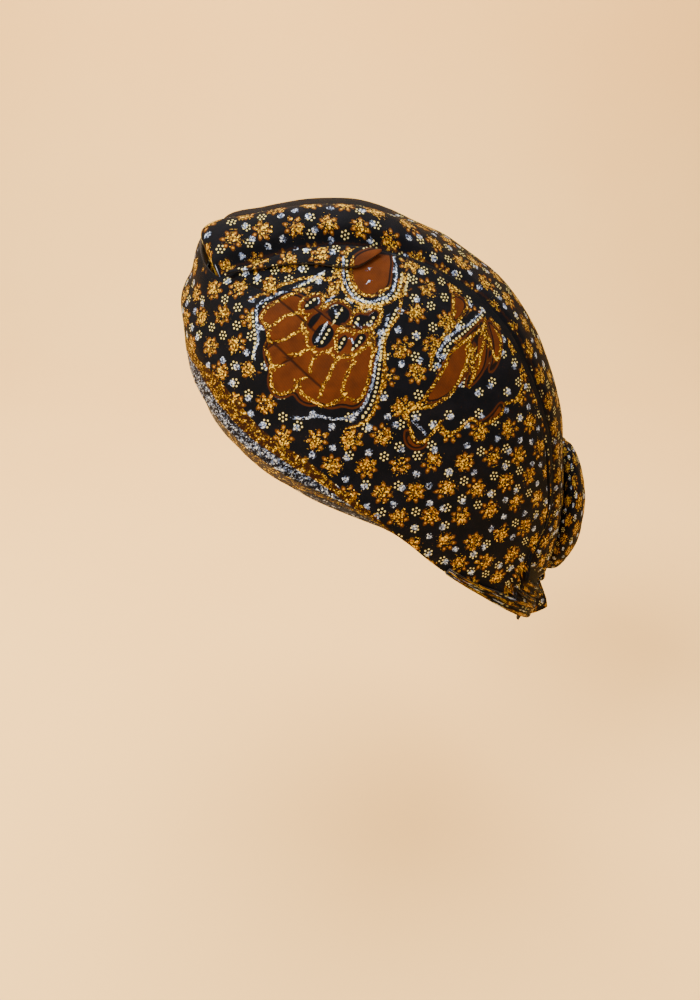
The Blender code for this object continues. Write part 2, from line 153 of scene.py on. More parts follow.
def crownDirection(crownAngle, out):  # out is in metres from the middle plane
    angle = np.radians(crownAngle)
    n = form["roundness"]
    along = (1 - np.clip(out / form["halfWidth"], 0, 1) ** n) ** (1 / n)
    inPlane = np.sin(angle)[..., None] * upward - np.cos(angle)[..., None] * backward
    far = (outlineRadius(crownAngle) * mm * along)[..., None]
    return unit(inPlane * far + np.asarray(out)[..., None] * sideways)


def between(start, end, share):
    turn = np.arccos(np.clip((start * end).sum(-1), -1, 1))
    turn = np.maximum(turn, 1e-6)
    return (
        start * (np.sin((1 - share) * turn) / np.sin(turn))[..., None]
        + end * (np.sin(share * turn) / np.sin(turn))[..., None]
    )


def seamDirection(rimAngle):
    return crownDirection(seamCrownAngle(rimAngle), seamOut(rimAngle) * mm)


def panelEnds(rimAngle):  # the directions of the panel's lower edge and of its seam
    most, start, full, soften, end = form["lean"]
    footAngle = rimAngle - most * ease(rimAngle, start, full) * (1 - ease(rimAngle, soften, end))
    return rimDirection(footAngle, foldRise(footAngle)), seamDirection(rimAngle)


def towardsCrown(rimAngle):
    run = onForm(seamDirection(rimAngle + 0.5)) - onForm(seamDirection(rimAngle - 0.5))
    return unit(np.cross(onForm(seamDirection(rimAngle)), run))


seamAngles = np.arange(form["cornerRimAngle"], 180, 0.5)
seamPoints, seamSides = onForm(seamDirection(seamAngles)), towardsCrown(seamAngles)


def insideSeam(points):  # over 0 on the crown, under 0 beneath the side panel
    nearest = np.empty(len(points), int)
    for first in range(0, len(points), 4000):
        part = points[first:first + 4000]
        nearest[first:first + 4000] = length(part[:, None] - seamPoints[None]).argmin(1)
    return ((points - seamPoints[nearest]) * seamSides[nearest]).sum(-1)


def ripple(points, size, seed, octaves=2):  # smooth noise from -1 to 1 made of a few crossing waves
    rng = np.random.default_rng(seed)
    total = np.zeros(len(points))
    for octave in range(octaves):
        for _ in range(6):
            way = unit(rng.normal(size=3))
            total += np.sin(points @ way * 2 * math.pi / (size / 1.8**octave) + rng.uniform(0, 6.28)) / 1.6**octave
    return total / (3.2 * octaves)


def panelUv(points):  # the side of the cloth laid flat: y and z, drawn out where the form curves away
    along = np.hypot(points @ upward, points @ backward)
    t = along / (outlineRadius(crownAngleOf(points)) * mm)
    flat = points[:, 1:3] * (1 + 0.14 * t**4)[:, None]
    turned = np.clip(1 - points[:, 0] / (58 * mm), 0, 1) ** 2  # where the cloth turns to the front or the nape
    flat[:, 0] += 29 * mm * turned * np.tanh(points[:, 1] / (30 * mm))
    return flat


crownRun = np.concatenate([[0], np.cumsum(outlineRadius(np.arange(0, 186)) * mm * math.radians(1))])


def crownUv(points):  # along the middle of the crown, and out from it
    angle = crownAngleOf(points)
    out = points[:, 0]
    return np.stack([np.interp(angle, np.arange(len(crownRun)), crownRun), out * (1 + 0.06 * (out / 0.045) ** 2)], -1)


# The printed motifs of the side panel, charted in millimetres of the laid-out cloth

motifs = {
    "brown": {
        "wing": [
            (-29, 108.5), (-35.5, 106.5), (-41.5, 101.5), (-42.5, 98), (-39.5, 95), (-38, 90.5),
            (-40, 86.5), (-39, 81.5), (-37, 78), (-38, 74.5), (-37, 70), (-33.5, 67.5), (-28, 70.5),
            (-26, 66.5), (-22, 65), (-19, 66), (-14, 64), (-9.5, 65.5), (-5, 64), (-1.5, 66.5),
            (0, 72.5), (1.5, 79), (2.5, 86), (2.5, 91), (-1, 94), (-6, 95), (-12.5, 96),
            (-17, 99.5), (-21, 102.5), (-25, 106),
        ],
        "head": [
            (-6, 122.5), (-6.5, 116.5), (-5, 111.5), (-1.5, 108.5), (2, 108), (6, 110), (9, 112),
            (10, 118), (11, 123), (10.5, 127.5), (5, 128), (-2, 126),
        ],
        "leafMain": [
            (52.5, 99), (46, 94.5), (40, 89.5), (34.5, 85), (31, 79), (27.5, 72.5), (22.5, 66),
            (27.5, 66), (33, 68.5), (37, 73), (39.5, 77.5), (41.5, 83.5), (43.5, 88.5), (47.5, 93),
        ],
        "leafSecond": [
            (52.5, 95), (47, 92), (46, 85), (44, 79), (40, 71), (43.5, 72.5), (49, 78.5), (51, 86),
        ],
        "leafThird": [
            (53.5, 98.5), (58, 94.5), (59.5, 90.5), (58, 85), (55, 79.5), (51, 76), (54, 82.5),
            (55, 87.5), (54.5, 93.5),
        ],
        "bowl": [(57, 63), (56.5, 60), (53.5, 57.6), (49, 55.8), (45.5, 56), (49.5, 57.2), (53, 60), (55.5, 63)],
        "bowlFoot": [
            (15.6, 55), (17.4, 52.5), (18.4, 50), (20, 49), (23.5, 49.6), (21.5, 47.8), (18, 47.9), (15.6, 50.5),
        ],
        "leafTop": [(38, 109.5), (43.5, 106.5), (42.5, 103), (39, 99), (35.5, 97), (37, 103)],
    },
    "black": {  # drops within the wing
        "dropA": [
            (-14.5, 96), (-12.5, 93), (-14, 89.5), (-17, 86.5), (-20.5, 87), (-22, 90), (-20.5, 94),
            (-17, 97),
        ],
        "dropB": [(-15, 102.5), (-11.5, 104.5), (-7.5, 102), (-7, 99), (-10, 96), (-13, 96), (-15, 99.5)],
        "dropC": [(-4, 99.5), (-1, 100), (-0.5, 97.5), (-2, 95), (-5, 95), (-5.5, 97.5)],
        "dropD": [(4.5, 102), (4, 99), (1.5, 95.5), (-0.5, 95.5), (1, 99.5)],
        "dropE": [(-8, 92.5), (-7, 90.5), (-9, 86.5), (-11.5, 84.5), (-12.5, 86.5), (-11, 90.5)],
        "dropF": [(-2.5, 93), (0, 92), (-0.5, 89.5), (-4, 86.5), (-7, 84.5), (-5.5, 88.5), (-4.5, 90.5)],
        "dropG": [(-19.5, 107), (-19, 104.5), (-22.5, 101.5), (-25.5, 102), (-24.5, 105), (-22, 106.5)],
        "dropH": [(-17, 101.5), (-19, 98), (-21.5, 95), (-23.5, 94), (-23.5, 97), (-21, 100)],
    },
    "field": {  # plain ground round the motifs, without the small flowers
        "wing": [
            (-29.5, 110.5), (-38, 108.5), (-44.5, 104), (-46.5, 98.5), (-45, 88), (-45, 79),
            (-42.5, 77), (-38.5, 77), (-37, 70), (-32, 67), (-34, 61.5), (-30.5, 57.5), (-20.5, 55.5),
            (-5, 56), (-0.5, 58), (3, 62.5), (4.5, 69), (6.5, 78), (6.5, 86), (8.5, 92), (12.5, 97),
            (14, 104.5), (12.5, 112.5), (13.5, 122), (9.5, 129), (-6, 129), (-11, 118.5),
            (-10.5, 110.5), (-12, 107), (-21, 107.5),
        ],
        "leaf": [
            (53, 99.5), (46, 94.5), (34.5, 85), (25.5, 69.5), (17.5, 63), (15, 57.5), (14.5, 50),
            (17.5, 47), (22.5, 47.3), (26, 51), (29.5, 56.5), (31, 53.5), (35.5, 53.5), (40, 56), (43.5, 57.5),
            (47, 55), (52, 55.5), (57, 59.5), (59, 63), (65.5, 64.5), (68.5, 69), (68, 73.5),
            (64.5, 85), (60, 93),
        ],
        "band": [
            (46.5, 103.5), (52, 101), (44, 94.5), (37.5, 90.5), (32, 86.5), (29.5, 82.5), (27, 84.5),
            (30.5, 89.5), (35, 93.5), (40.5, 98),
        ],
        "topLeft": [(-34, 112), (-24, 117), (-14, 123), (-10, 122), (-18, 114), (-26, 110)],
        "topRight": [(15, 112), (17, 119), (20, 121), (20, 114), (17, 108)],
    },
    "gold": {
        "wingTop": [
            (-28, 109), (-31, 108), (-35.5, 106.5), (-38.5, 104), (-41.5, 100.5), (-42.5, 98),
            (-39.5, 95.5), (-39, 92), (-38.5, 89.5),
        ],
        "wingLow": [(-40, 86.5), (-38, 83), (-37.5, 79), (-37.5, 74.5), (-36.5, 70), (-33.5, 68.5), (-28.5, 70.5)],
        "scallops": [
            (-27.5, 73.5), (-26, 70), (-23, 67.5), (-19.5, 65.5), (-17, 64), (-14, 65), (-10.5, 67), (-8.5, 69),
        ],
        "veinA": [(-39.5, 95), (-36, 96.5), (-33, 99.5), (-29, 100.5), (-26, 101.5)],
        "veinB": [(-35, 89.5), (-31.5, 90), (-29.5, 92), (-26.5, 93.5)],
        "veinC": [(-29.5, 84), (-26.5, 84), (-24, 86), (-20.5, 87)],
        "veinD": [(-22, 78), (-22, 81), (-20, 83.5)],
        "veinE": [(-18, 68.5), (-17, 72.5), (-14, 77), (-12.5, 81.5), (-11, 83.5)],
        "veinF": [(-9.5, 68), (-9, 73.5), (-7, 78), (-5, 81)],
        "veinG": [(-36.5, 79.5), (-32.5, 80)],
        "veinH": [(-27, 71.5), (-26, 74.5), (-24.5, 75)],
        "wingRight": [(2.5, 92), (2.5, 86), (1.5, 80), (1, 75), (-1, 69), (-4, 66), (-6, 67)],
        "dropRingA": [(-24.5, 99.5), (-24.5, 94), (-23.5, 90.5)],
        "dropRingB": [
            (-12, 86), (-12.5, 90.5), (-11, 95), (-7, 95.5), (-5.5, 100.5), (-2.5, 103), (2, 103),
            (5.5, 102.5), (5, 97.5), (1, 94), (-2.5, 93),
        ],
        "dropRingC": [(-10.5, 83), (-5.5, 84), (-1.5, 86.5), (0.5, 89.5)],
        "dropRingD": [(-18.5, 108.5), (-14.5, 106.5), (-12, 112)],
        "outer": [
            (17, 116), (15.5, 110), (13.5, 104.5), (13, 99.5), (8.5, 94), (6.5, 88.5), (7, 83), (6.5, 77),
            (6, 71.5), (4, 67), (2.5, 62), (-0.5, 58), (-7, 56),
        ],
        "left": [(-47.5, 106.5), (-42, 109), (-38, 111), (-33.5, 113)],
        "top": [(-32, 113), (-28, 115), (-23.5, 115.5), (-18.5, 115.5), (-15, 114), (-13, 117), (-12, 123)],
        "head": [(-6, 122.5), (-6.5, 116.5), (-5, 111.5), (-1.5, 108), (2, 107.5), (6, 109.5), (9, 111.5)],
        "headRing": [
            (-10.5, 118.5), (-10.5, 113.5), (-8.5, 108.5), (-4.5, 105), (-0.5, 103.5), (4.5, 103.5),
            (9.5, 105), (12.5, 107.5), (14.5, 111.5), (15.5, 117),
        ],
        "leafMainA": [
            (52.5, 98.5), (51, 95.5), (46, 92.5), (40, 89), (34.5, 85.5), (33, 82), (29.5, 76),
            (25.5, 70.5), (22, 66), (17, 63),
        ],
        "leafMainB": [
            (43, 89), (41.5, 84.5), (41, 80), (38, 74.5), (35, 69.5), (30.5, 66), (25.5, 63.5), (18.5, 63),
            (15.5, 62),
        ],
        "leafSecondA": [(52, 94.5), (50, 89.5), (48, 85), (46.5, 79.5), (44, 75.5), (42, 71.5)],
        "leafSecondB": [(44, 87.5), (43.5, 81), (43.5, 77.5)],
        "leafThird": [(52.5, 92), (53.5, 86), (54.5, 82.5), (56, 81), (58.5, 86), (59.5, 90.5), (57.5, 93.5)],
        "leafTopA": [(38, 109), (37, 103), (35, 98), (32, 92.5), (28.5, 87.5), (26, 83.5), (25.5, 79)],
        "leafTopB": [(44, 107), (45, 105), (41, 100), (36, 95.5), (32.5, 92)],
        "scalloped": [
            (68.5, 74.5), (69.5, 71.5), (67, 66.5), (62.5, 63.5), (58, 63.5), (57, 59.5), (53.5, 57),
            (48, 55), (45, 56), (42.5, 59), (40, 56), (35.5, 53), (31.5, 53), (29.5, 56.5),
        ],
        "stem": [
            (15.5, 62), (16.5, 57.5), (18, 53), (19, 50.5), (21.5, 49.6), (23.5, 50.5), (25.4, 52.2),
            (27.4, 54.8), (29.5, 57.5),
        ],
    },
    "silver": {
        "head": [
            (-10, 122.5), (-10, 117), (-8.5, 112), (-6, 108), (-2.5, 105.5), (1.5, 105), (6, 106.5),
            (10, 108.5), (12, 113), (13, 119), (12.5, 124.5),
        ],
        "right": [
            (8.5, 99.5), (7, 94), (5, 90.5), (5, 85), (3, 79.5), (2.5, 73.5), (0.5, 68), (-2, 63), (-5, 60.5),
        ],
        "bottom": [(-28.5, 60), (-24, 59.5), (-19.5, 61), (-14, 59.5), (-9.5, 59.5), (-5, 60.5)],
        "left": [
            (-33.5, 109.5), (-36.5, 109), (-41.5, 106), (-44, 104), (-44.5, 100), (-43.5, 95),
            (-42.5, 89.5), (-44.5, 86), (-44.5, 83),
        ],
        "topLeft": [(-29, 111.5), (-26, 112.5), (-22.5, 115), (-18.5, 117.5)],
        "dropA": [(-16, 96), (-18, 93), (-19.5, 90)],
        "leaf": [
            (51.5, 102.5), (48, 99.5), (43.5, 96.5), (39, 94.5), (34.5, 92), (31.5, 88.5), (28.5, 84.5),
        ],
        "leafFoot": [(18.5, 57.5), (21, 56), (23, 53.5)],
        "spotA": [(-12.5, 101.5), (-12, 100.5)],
        "spotB": [(-3.5, 96), (-3, 95.5)],
        "spotC": [(-6, 90), (-5.5, 89.5)],
        "spotD": [(-15.5, 105.5), (-14, 107)],
        "spotE": [(28.5, 84), (29, 82.5)],
        "spotF": [(0.2, 113.6), (1.2, 114)],
        "spotG": [(0.2, 119), (1.2, 119.4)],
    },
    "dots": {
        "head": [
            (-8.5, 122.5), (-8.5, 118.5), (-7, 113), (-5, 109), (-2.5, 106.8), (1.5, 104), (7, 105), (10.5, 107),
            (14, 111), (15, 117),
        ],
        "right": [(12, 102.5), (9.5, 97), (6.2, 90.5), (5.7, 86), (4.7, 79), (4, 72.5), (2, 65), (-1.5, 60.5)],
        "left": [(-46, 101.5), (-45, 95), (-43.7, 90.5), (-45, 83)],
        "dropA": [(-14.5, 94.5), (-16.5, 91), (-18, 88.5)],
        "dropB": [(-9.5, 102.5), (-11.5, 100), (-13, 97)],
        "dropC": [(-3, 99), (-5, 95.5)],
        "dropD": [(3, 99.5), (1, 96)],
        "dropE": [(-8.5, 91), (-10, 88.5), (-11, 86)],
        "dropF": [(-2, 91.5), (-3, 88.5), (-5.5, 86.5)],
        "dropG": [(-20.5, 106.5), (-23, 104.5), (-24.5, 103)],
        "leaf": [(52, 101), (48, 98.2), (43.5, 95), (38.5, 91.5), (34.5, 89), (31.5, 86)],
        "topRight": [(18.5, 118), (17, 113), (16, 109)],
        "top": [(-28, 111.5), (-23, 113.5), (-17, 117.5)],
    },
    "dotSpacing": 1.75,
}


def rounded(points, closed):  # cuts a chart's corners so that its lines bend smoothly
    points = np.array(points, float)
    for _ in range(2):
        after = np.roll(points, -1, axis=0) if closed else points[1:]
        before = points if closed else points[:-1]
        cut = np.stack([before * 0.75 + after * 0.25, before * 0.25 + after * 0.75], 1).reshape(-1, 2)
        points = cut if closed else np.concatenate([points[:1], cut[1:-1], points[-1:]])
    return points


def areaDistance(uv, outlines):  # under 0 within any of the outlines, in millimetres
    best = np.full(len(uv), 99.0)
    for outline in outlines.values():
        corners = rounded(outline, True)
        ends = np.roll(corners, -1, axis=0)
        away, odd = np.full(len(uv), 99.0), np.zeros(len(uv), bool)
        for a, b in zip(corners, ends):
            d = b - a
            t = np.clip(((uv - a) @ d) / (d @ d), 0, 1)
            away = np.minimum(away, length(uv - a - t[:, None] * d))
            crosses = (a[1] > uv[:, 1]) != (b[1] > uv[:, 1])
            where = a[0] + (uv[:, 1] - a[1]) * d[0] / (d[1] if d[1] else 1e-9)
            odd ^= crosses & (uv[:, 0] < where)
        best = np.minimum(best, np.where(odd, -away, away))
    return best


def lineDistance(uv, lines):  # distance to a side of the nearest line, the plain distance, and how far along it
    best = np.full(len(uv), 99.0)
    sided, along = np.full(len(uv), 99.0), np.zeros(len(uv))
    for line in lines.values():
        run = 0.0
        bends = rounded(line, False) if len(line) > 2 else np.array(line, float)
        for a, b in zip(bends, bends[1:]):
            d = b - a
            size = math.hypot(*d)
            t = np.clip(((uv - a) @ d) / size**2, 0, 1)
            offset = uv - a - t[:, None] * d
            away = length(offset)
            nearer = away < best
            side = np.where(d[0] * (uv - a)[:, 1] - d[1] * (uv - a)[:, 0] < 0, -1, 1)
            sided, along = np.where(nearer, away * side, sided), np.where(nearer, run + t * size, along)
            best = np.minimum(best, away)
            run += size
    return np.stack([sided, best, along], -1)


# Small classes for the node trees


class Value:  # a socket that takes part in expressions
    def __init__(self, shader, socket):
        self.shader, self.socket = shader, socket

    def math(self, operation, *others):
        return self.shader.node("ShaderNodeMath", {"operation": operation}, [self, *others])

    def __add__(self, other):
        return self.math("ADD", other)

    def __sub__(self, other):
        return self.math("SUBTRACT", other)

    def __rsub__(self, other):
        return self.shader.node("ShaderNodeMath", {"operation": "SUBTRACT"}, [other, self])

    def __mul__(self, other):
        return self.math("MULTIPLY", other)

    def __truediv__(self, other):
        return self.math("DIVIDE", other)

    def __pow__(self, other):
        return self.math("POWER", other)

    def __mod__(self, other):
        return self.math("FLOORED_MODULO", other)

    def __lt__(self, other):
        return self.math("LESS_THAN", other)

    def __gt__(self, other):
        return self.math("GREATER_THAN", other)

    def __abs__(self):
        return self.math("ABSOLUTE")

    __radd__ = __add__
    __rmul__ = __mul__

    def floor(self):
        return self.math("FLOOR")

    def fract(self):
        return self.math("FRACT")

    def least(self, other):
        return self.math("MINIMUM", other)

    def most(self, other):
        return self.math("MAXIMUM", other)

    def edge(self, start, end):  # 0 at start and 1 at end, softly
        ranged = {"interpolation_type": "SMOOTHSTEP"}
        return self.shader.node("ShaderNodeMapRange", ranged, {"Value": self, "From Min": start, "From Max": end})

    def under(self, limit, soft=0.12):  # 1 where the value is below the limit
        return self.edge(limit + soft, limit - soft)


def spread(x, y):  # the distance from the middle
    return (x * x + y * y).math("SQRT")


class Shader:  # a material's tree
    def __init__(self, name):
        self.material = bpy.data.materials.new(name)
        self.material.use_nodes = True
        self.tree = self.material.node_tree
        self.bsdf = self.tree.nodes["Principled BSDF"]

    def feed(self, socket, value):
        if isinstance(value, Value):
            self.tree.links.new(value.socket, socket)
        elif value is not None:
            socket.default_value = value

    def node(self, kind, settings=None, values=None, out=0):
        made = self.tree.nodes.new(kind)
        for key, setting in (settings or {}).items():
            setattr(made, key, setting)
        pairs = values.items() if isinstance(values, dict) else enumerate(values or [])
        for key, value in pairs:
            self.feed(made.inputs[key], value)
        return Value(self, made.outputs[out])

    def mix(self, share, first, second):  # of two colours
        return self.node("ShaderNodeMix", {"data_type": "RGBA"}, {0: share, 6: first, 7: second}, 2)

    def scaled(self, vector, size):
        return self.node("ShaderNodeVectorMath", {"operation": "SCALE"}, {0: vector, "Scale": size})

    def vector(self, x, y, z=0.0):
        return self.node("ShaderNodeCombineXYZ", None, [x, y, z])

    def parts(self, vector):
        split = self.tree.nodes.new("ShaderNodeSeparateXYZ")
        self.feed(split.inputs[0], vector)
        return [Value(self, split.outputs[i]) for i in range(3)]

    def noise(self, vector, scale, detail=2.0, rough=0.5):
        values = {"Vector": vector, "Scale": scale, "Detail": detail, "Roughness": rough}
        return self.node("ShaderNodeTexNoise", None, values)

    def chance(self, vector, dimensions="3D", out=0):  # a random value for each place, or a colour with out=1
        return self.node("ShaderNodeTexWhiteNoise", {"noise_dimensions": dimensions}, {"Vector": vector}, out)

    def cells(self, vector, scale):  # random flakes: a shade for each
        return self.parts(self.node("ShaderNodeTexVoronoi", None, {"Vector": vector, "Scale": scale}, 1))[0]

    def attribute(self, name):
        return self.node("ShaderNodeAttribute", {"attribute_name": name}, None, 1)

    def mmUv(self):  # the cloth's own map, in millimetres
        return self.scaled(self.node("ShaderNodeUVMap", {"uv_map": "cloth"}, None), 1000.0)

    def finish(self, sockets, strength=0.0, distance=0.0, height=None):
        if height is not None:
            values = {"Strength": strength, "Distance": distance, "Height": height}
            sockets = {**sockets, "Normal": self.node("ShaderNodeBump", None, values)}
        for name, value in sockets.items():
            self.feed(self.bsdf.inputs[name], value)
        return self.material


def srgb(red, green, blue):
    linear = [((c / 255 + 0.055) / 1.055) ** 2.4 if c > 10 else c / 3294.6 for c in (red, green, blue)]
    return (*linear, 1)


inks = {
    # the cloth's black ground, also laid over as painted shade along the seams
    "ground": srgb(2, 4, 10),
    "groundLight": srgb(7, 8, 16),
    "petalDark": srgb(36, 14, 1),
    "petal": srgb(78, 46, 8),
    "pearl": srgb(172, 120, 48),
    "goldDeep": srgb(38, 23, 9),
    "gold": srgb(118, 80, 14),
    "goldBright": srgb(246, 200, 58),
    "cream": srgb(206, 194, 128),
    "silverDeep": srgb(34, 36, 50),
    "silver": srgb(118, 138, 180),
    "silverBright": srgb(224, 237, 255),
    "borderSilver": srgb(98, 98, 108),
    "borderSilverBright": srgb(226, 222, 214),
    "goldBase": srgb(26, 12, 4),
    "silverBase": srgb(14, 11, 12),
    "brown": srgb(84, 40, 8),
    "brownDeep": srgb(60, 27, 5),
    # the dark brown of the print's lines, also used as painted shade in the creases and gathers
    "brownLine": srgb(14, 5, 2),
    "reverse": srgb(24, 16, 12),
    "dust": srgb(60, 50, 40),
}
smallPrint = {  # the small repeat, in millimetres
    "acrossFlowers": 13.2,
    "rowHeight": 11.7,
    "petals": 7,
    "petalPlace": 3.35,
    "petalLength": 1.4,
    "petalWidth": 1.02,
    "jitter": 1.3,
    "glitterShift": 2.8,  # the glitter is printed off the flower's middle
    "flake": 0.52,
    "clusterJitter": 0.6,
    "clusterRing": 1.55,
    "clusterDots": 6,
    "dot": 0.38,
}
weavePitch = 0.42  # millimetres


class Glitter:  # a patch of metallic flakes: its colour, and which flakes are there
    def __init__(self, shader, mmUv, deep, middle, bright, shift):
        place = shader.node("ShaderNodeVectorMath", {"operation": "ADD"}, [mmUv, (shift, shift, 0)])
        self.shade = shader.cells(place, 1 / smallPrint["flake"])
        dim = shader.mix(self.shade.edge(0.25, 0.7), deep, middle)
        self.colour = shader.mix(self.shade.edge(0.68, 0.93), dim, bright)
        self.there = self.shade.edge(0.2, 0.34)


def latticeCell(u, v):  # the column and row of a staggered lattice, and the place in its cell
    wide, high = smallPrint["acrossFlowers"], smallPrint["rowHeight"]
    row = (v / high).floor()
    shifted = u / wide + (row % 2.0) * 0.5
    return shifted.floor(), row, (shifted.fract() - 0.5) * wide, ((v / high).fract() - 0.5) * high


def flowerLayer(shader, u, v):  # the small flowers in one staggered lattice
    column, row, x, y = latticeCell(u, v)
    r1, r2, r3 = shader.parts(shader.chance(shader.vector(column, row), "2D", 1))
    x = x + (r1 - 0.5) * (2 * smallPrint["jitter"])
    y = y + (r2 - 0.5) * (2 * smallPrint["jitter"])
    away = spread(x, y)
    sector = 2 * math.pi / smallPrint["petals"]
    turn = (y.math("ARCTAN2", x) + r3 * 6.28) / sector
    count = turn.floor()
    perPetal = shader.chance(shader.vector(column, row, count))
    local = (turn.fract() - 0.5) * sector
    px = away * local.math("COSINE") - perPetal * 0.7 - (smallPrint["petalPlace"] - 0.35)
    py = away * local.math("SINE")
    taper = smallPrint["petalWidth"] - px * 0.18  # a petal is round at its inner end and pointed at its outer one
    petal = (px / smallPrint["petalLength"]) ** 2.0 + (py / taper) ** 2.0
    heart = spread(x - (r1 - 0.5) * smallPrint["glitterShift"], y - (r3 - 0.5) * smallPrint["glitterShift"])
    return heart, petal, spread(px + 0.2, py), perPetal, r2


def clusterLayer(shader, u, v, shiftU, shiftV, share):  # rings of dots with a glitter blob, in the gaps
    column, row, x, y = latticeCell(u + shiftU, v + shiftV)
    r1, r2, r3 = shader.parts(shader.chance(shader.vector(column + 7.3, row + 3.1, shiftV), out=1))
    x = x + (r1 - 0.5) * (2 * smallPrint["clusterJitter"])
    y = y + (r2 - 0.5) * (2 * smallPrint["clusterJitter"])
    away = spread(x, y)
    turn = y.math("ARCTAN2", x) + r3 * 6.28
    sector = 2 * math.pi / smallPrint["clusterDots"]
    local = ((turn / sector).fract() - 0.5) * sector
    ring = spread(away * local.math("COSINE") - smallPrint["clusterRing"], away * local.math("SINE"))
    dots = ring.under(smallPrint["dot"]).most(away.under(smallPrint["dot"])) * (r3 < share)
    return dots, spread(x - (r2 - 0.5) * 3.8, y + (r1 - 0.5) * 3.8), r1


class Cloth:  # the printed face, built up ink by ink
    def __init__(self, name):
        self.shader = shader = Shader(name)
        self.mmUv = shader.mmUv()
        self.u, self.v, _ = shader.parts(self.mmUv)
        self.wobble = (shader.noise(self.mmUv, 0.95, 3.0, 0.6) - 0.5) * 2.0
        self.gold = Glitter(shader, self.mmUv, inks["goldDeep"], inks["gold"], inks["goldBright"], 0.0)
        self.silver = Glitter(shader, self.mmUv, inks["silverDeep"], inks["silver"], inks["silverBright"], 31.7)
        self.colour = shader.mix(shader.noise(self.mmUv, 0.12).edge(0.4, 0.7), inks["ground"], inks["groundLight"])
        self.shine = 0.0

    def ink(self, mask, colour):
        self.colour = self.shader.mix(mask, self.colour, colour)

    def sprinkle(self, mask, glitter):
        mask = mask * glitter.there
        self.ink(mask, glitter.colour)
        self.shine = mask * (glitter.shade * 0.6 + 0.4) + self.shine

    def cover(self, mask, colour):  # plain ink over whatever was there, glitter too
        self.ink(mask, colour)
        self.shine = self.shine * (1 - mask)

    def smallRepeat(self, flowersOpen=None, dotsOpen=None):
        away, petal, pearl, perPetal, r2 = flowerLayer(self.shader, self.u, self.v)
        petals = petal.under(1.0, 0.2) * (perPetal + r2 * 0.4 > 0.16)
        inner = petal.under(0.62, 0.25) * petals
        pearls = pearl.under(0.4, 0.24) * petals
        heart = (away + self.wobble * 3.0).under(2.2, 0.35)
        loose = petal.under(0.9, 0.3) * (perPetal + r2 * 0.4 + self.wobble * 1.1 > 1.2)
        stray = (away + self.wobble * 6.5).under(2.7, 0.3) * (self.gold.shade > 0.55)
        glitter = heart.most(loose).most(stray)
        if flowersOpen:
            petals, inner, pearls, glitter = [mask * flowersOpen for mask in (petals, inner, pearls, glitter)]
        self.ink(petals, inks["petalDark"])
        self.ink(inner, inks["petal"])
        self.sprinkle(glitter, self.gold)
        self.ink(pearls, inks["pearl"])
        wide, high = smallPrint["acrossFlowers"], smallPrint["rowHeight"]
        for shiftU, shiftV, share in ((0.0, high * 2 / 3, 0.8), (0.5 * wide, high / 3, 0.55)):
            dots, blob, random = clusterLayer(self.shader, self.u, self.v, shiftU, shiftV, share)
            spot = (blob + self.wobble * 1.2).under(1.3, 0.25) * (random > 0.3)
            if dotsOpen:
                dots, spot = dots * dotsOpen, spot * dotsOpen
            self.ink(dots, inks["cream"])
            self.sprinkle(spot, self.silver)

    def motifs(self, brown, black, gold, silver, dots):  # the large printed figures, from fields in the mesh
        hatch = ((self.u * 0.8 + self.v * 0.6) * (2 * math.pi / 0.85)).math("SINE")
        tone = (self.shader.noise(self.mmUv, 0.16, 3.0) + hatch * 0.05).edge(0.15, 0.85)
        self.cover(abs(brown - 0.8).under(0.4, 0.15), inks["brownDeep"])
        self.cover(brown.under(0.0, 0.2), self.shader.mix(tone, inks["brownDeep"], inks["brown"]))
        self.ink(abs(brown + 0.1).under(0.24, 0.15), inks["brownLine"])
        self.cover(abs(black - 0.9).under(0.5, 0.2) * brown.edge(-0.5, 1.0), inks["brownDeep"])
        self.cover(black.under(0.0, 0.25), inks["ground"])
        ring = (abs(black - 1.9) + self.wobble * 1.1).under(0.5, 0.22)
        self.sprinkle(ring, self.gold)
        side, apart, _ = gold
        line = (abs(side) + self.wobble * 0.9).under(0.6, 0.22) * apart.under(1.5, 0.3)
        self.ink(line * 0.7, inks["petalDark"])
        self.sprinkle(line, self.gold)
        side, apart, _ = silver
        self.sprinkle((abs(side) + self.wobble * 1.0).under(0.5, 0.22) * apart.under(1.4, 0.3), self.silver)
        side, apart, along = dots
        step = ((along / motifs["dotSpacing"]).fract() - 0.5) * motifs["dotSpacing"]
        self.ink(spread(side, step).under(0.48, 0.15) * apart.under(1.1, 0.1), inks["cream"])

    def stripe(self, distance, glitter, base):  # a border's glitter along the panel's edge
        stripe = (distance + self.wobble * 0.4).under(0.0, 0.15)
        worn = self.shader.noise(self.mmUv, 0.5, 4.0, 0.75).edge(0.45, 0.6)
        self.cover(stripe, base)
        self.sprinkle(stripe * worn, glitter)

    def finish(self, crease=0.0):
        shader = self.shader
        dusty = shader.noise(self.mmUv, 0.05, 3.0).edge(0.45, 0.8) * 0.04
        self.ink(dusty, inks["dust"])
        shine = self.shine.least(1.0)
        height = shine * 0.2 + weave(shader, self.mmUv) * 0.06 + shader.noise(self.mmUv, 0.8, 3.0) * 0.14 - crease
        sockets = {"Base Color": self.colour, "Roughness": 0.8 - shine * 0.42, "Metallic": shine * 0.45}
        return shader.finish({**sockets, "Specular IOR Level": 0.08}, 0.7, 0.7 * mm, height)


def weave(shader, mmUv):
    u, v, _ = shader.parts(mmUv)
    return (u * (2 * math.pi / weavePitch)).math("SINE") * (v * (2 * math.pi / weavePitch)).math("SINE")


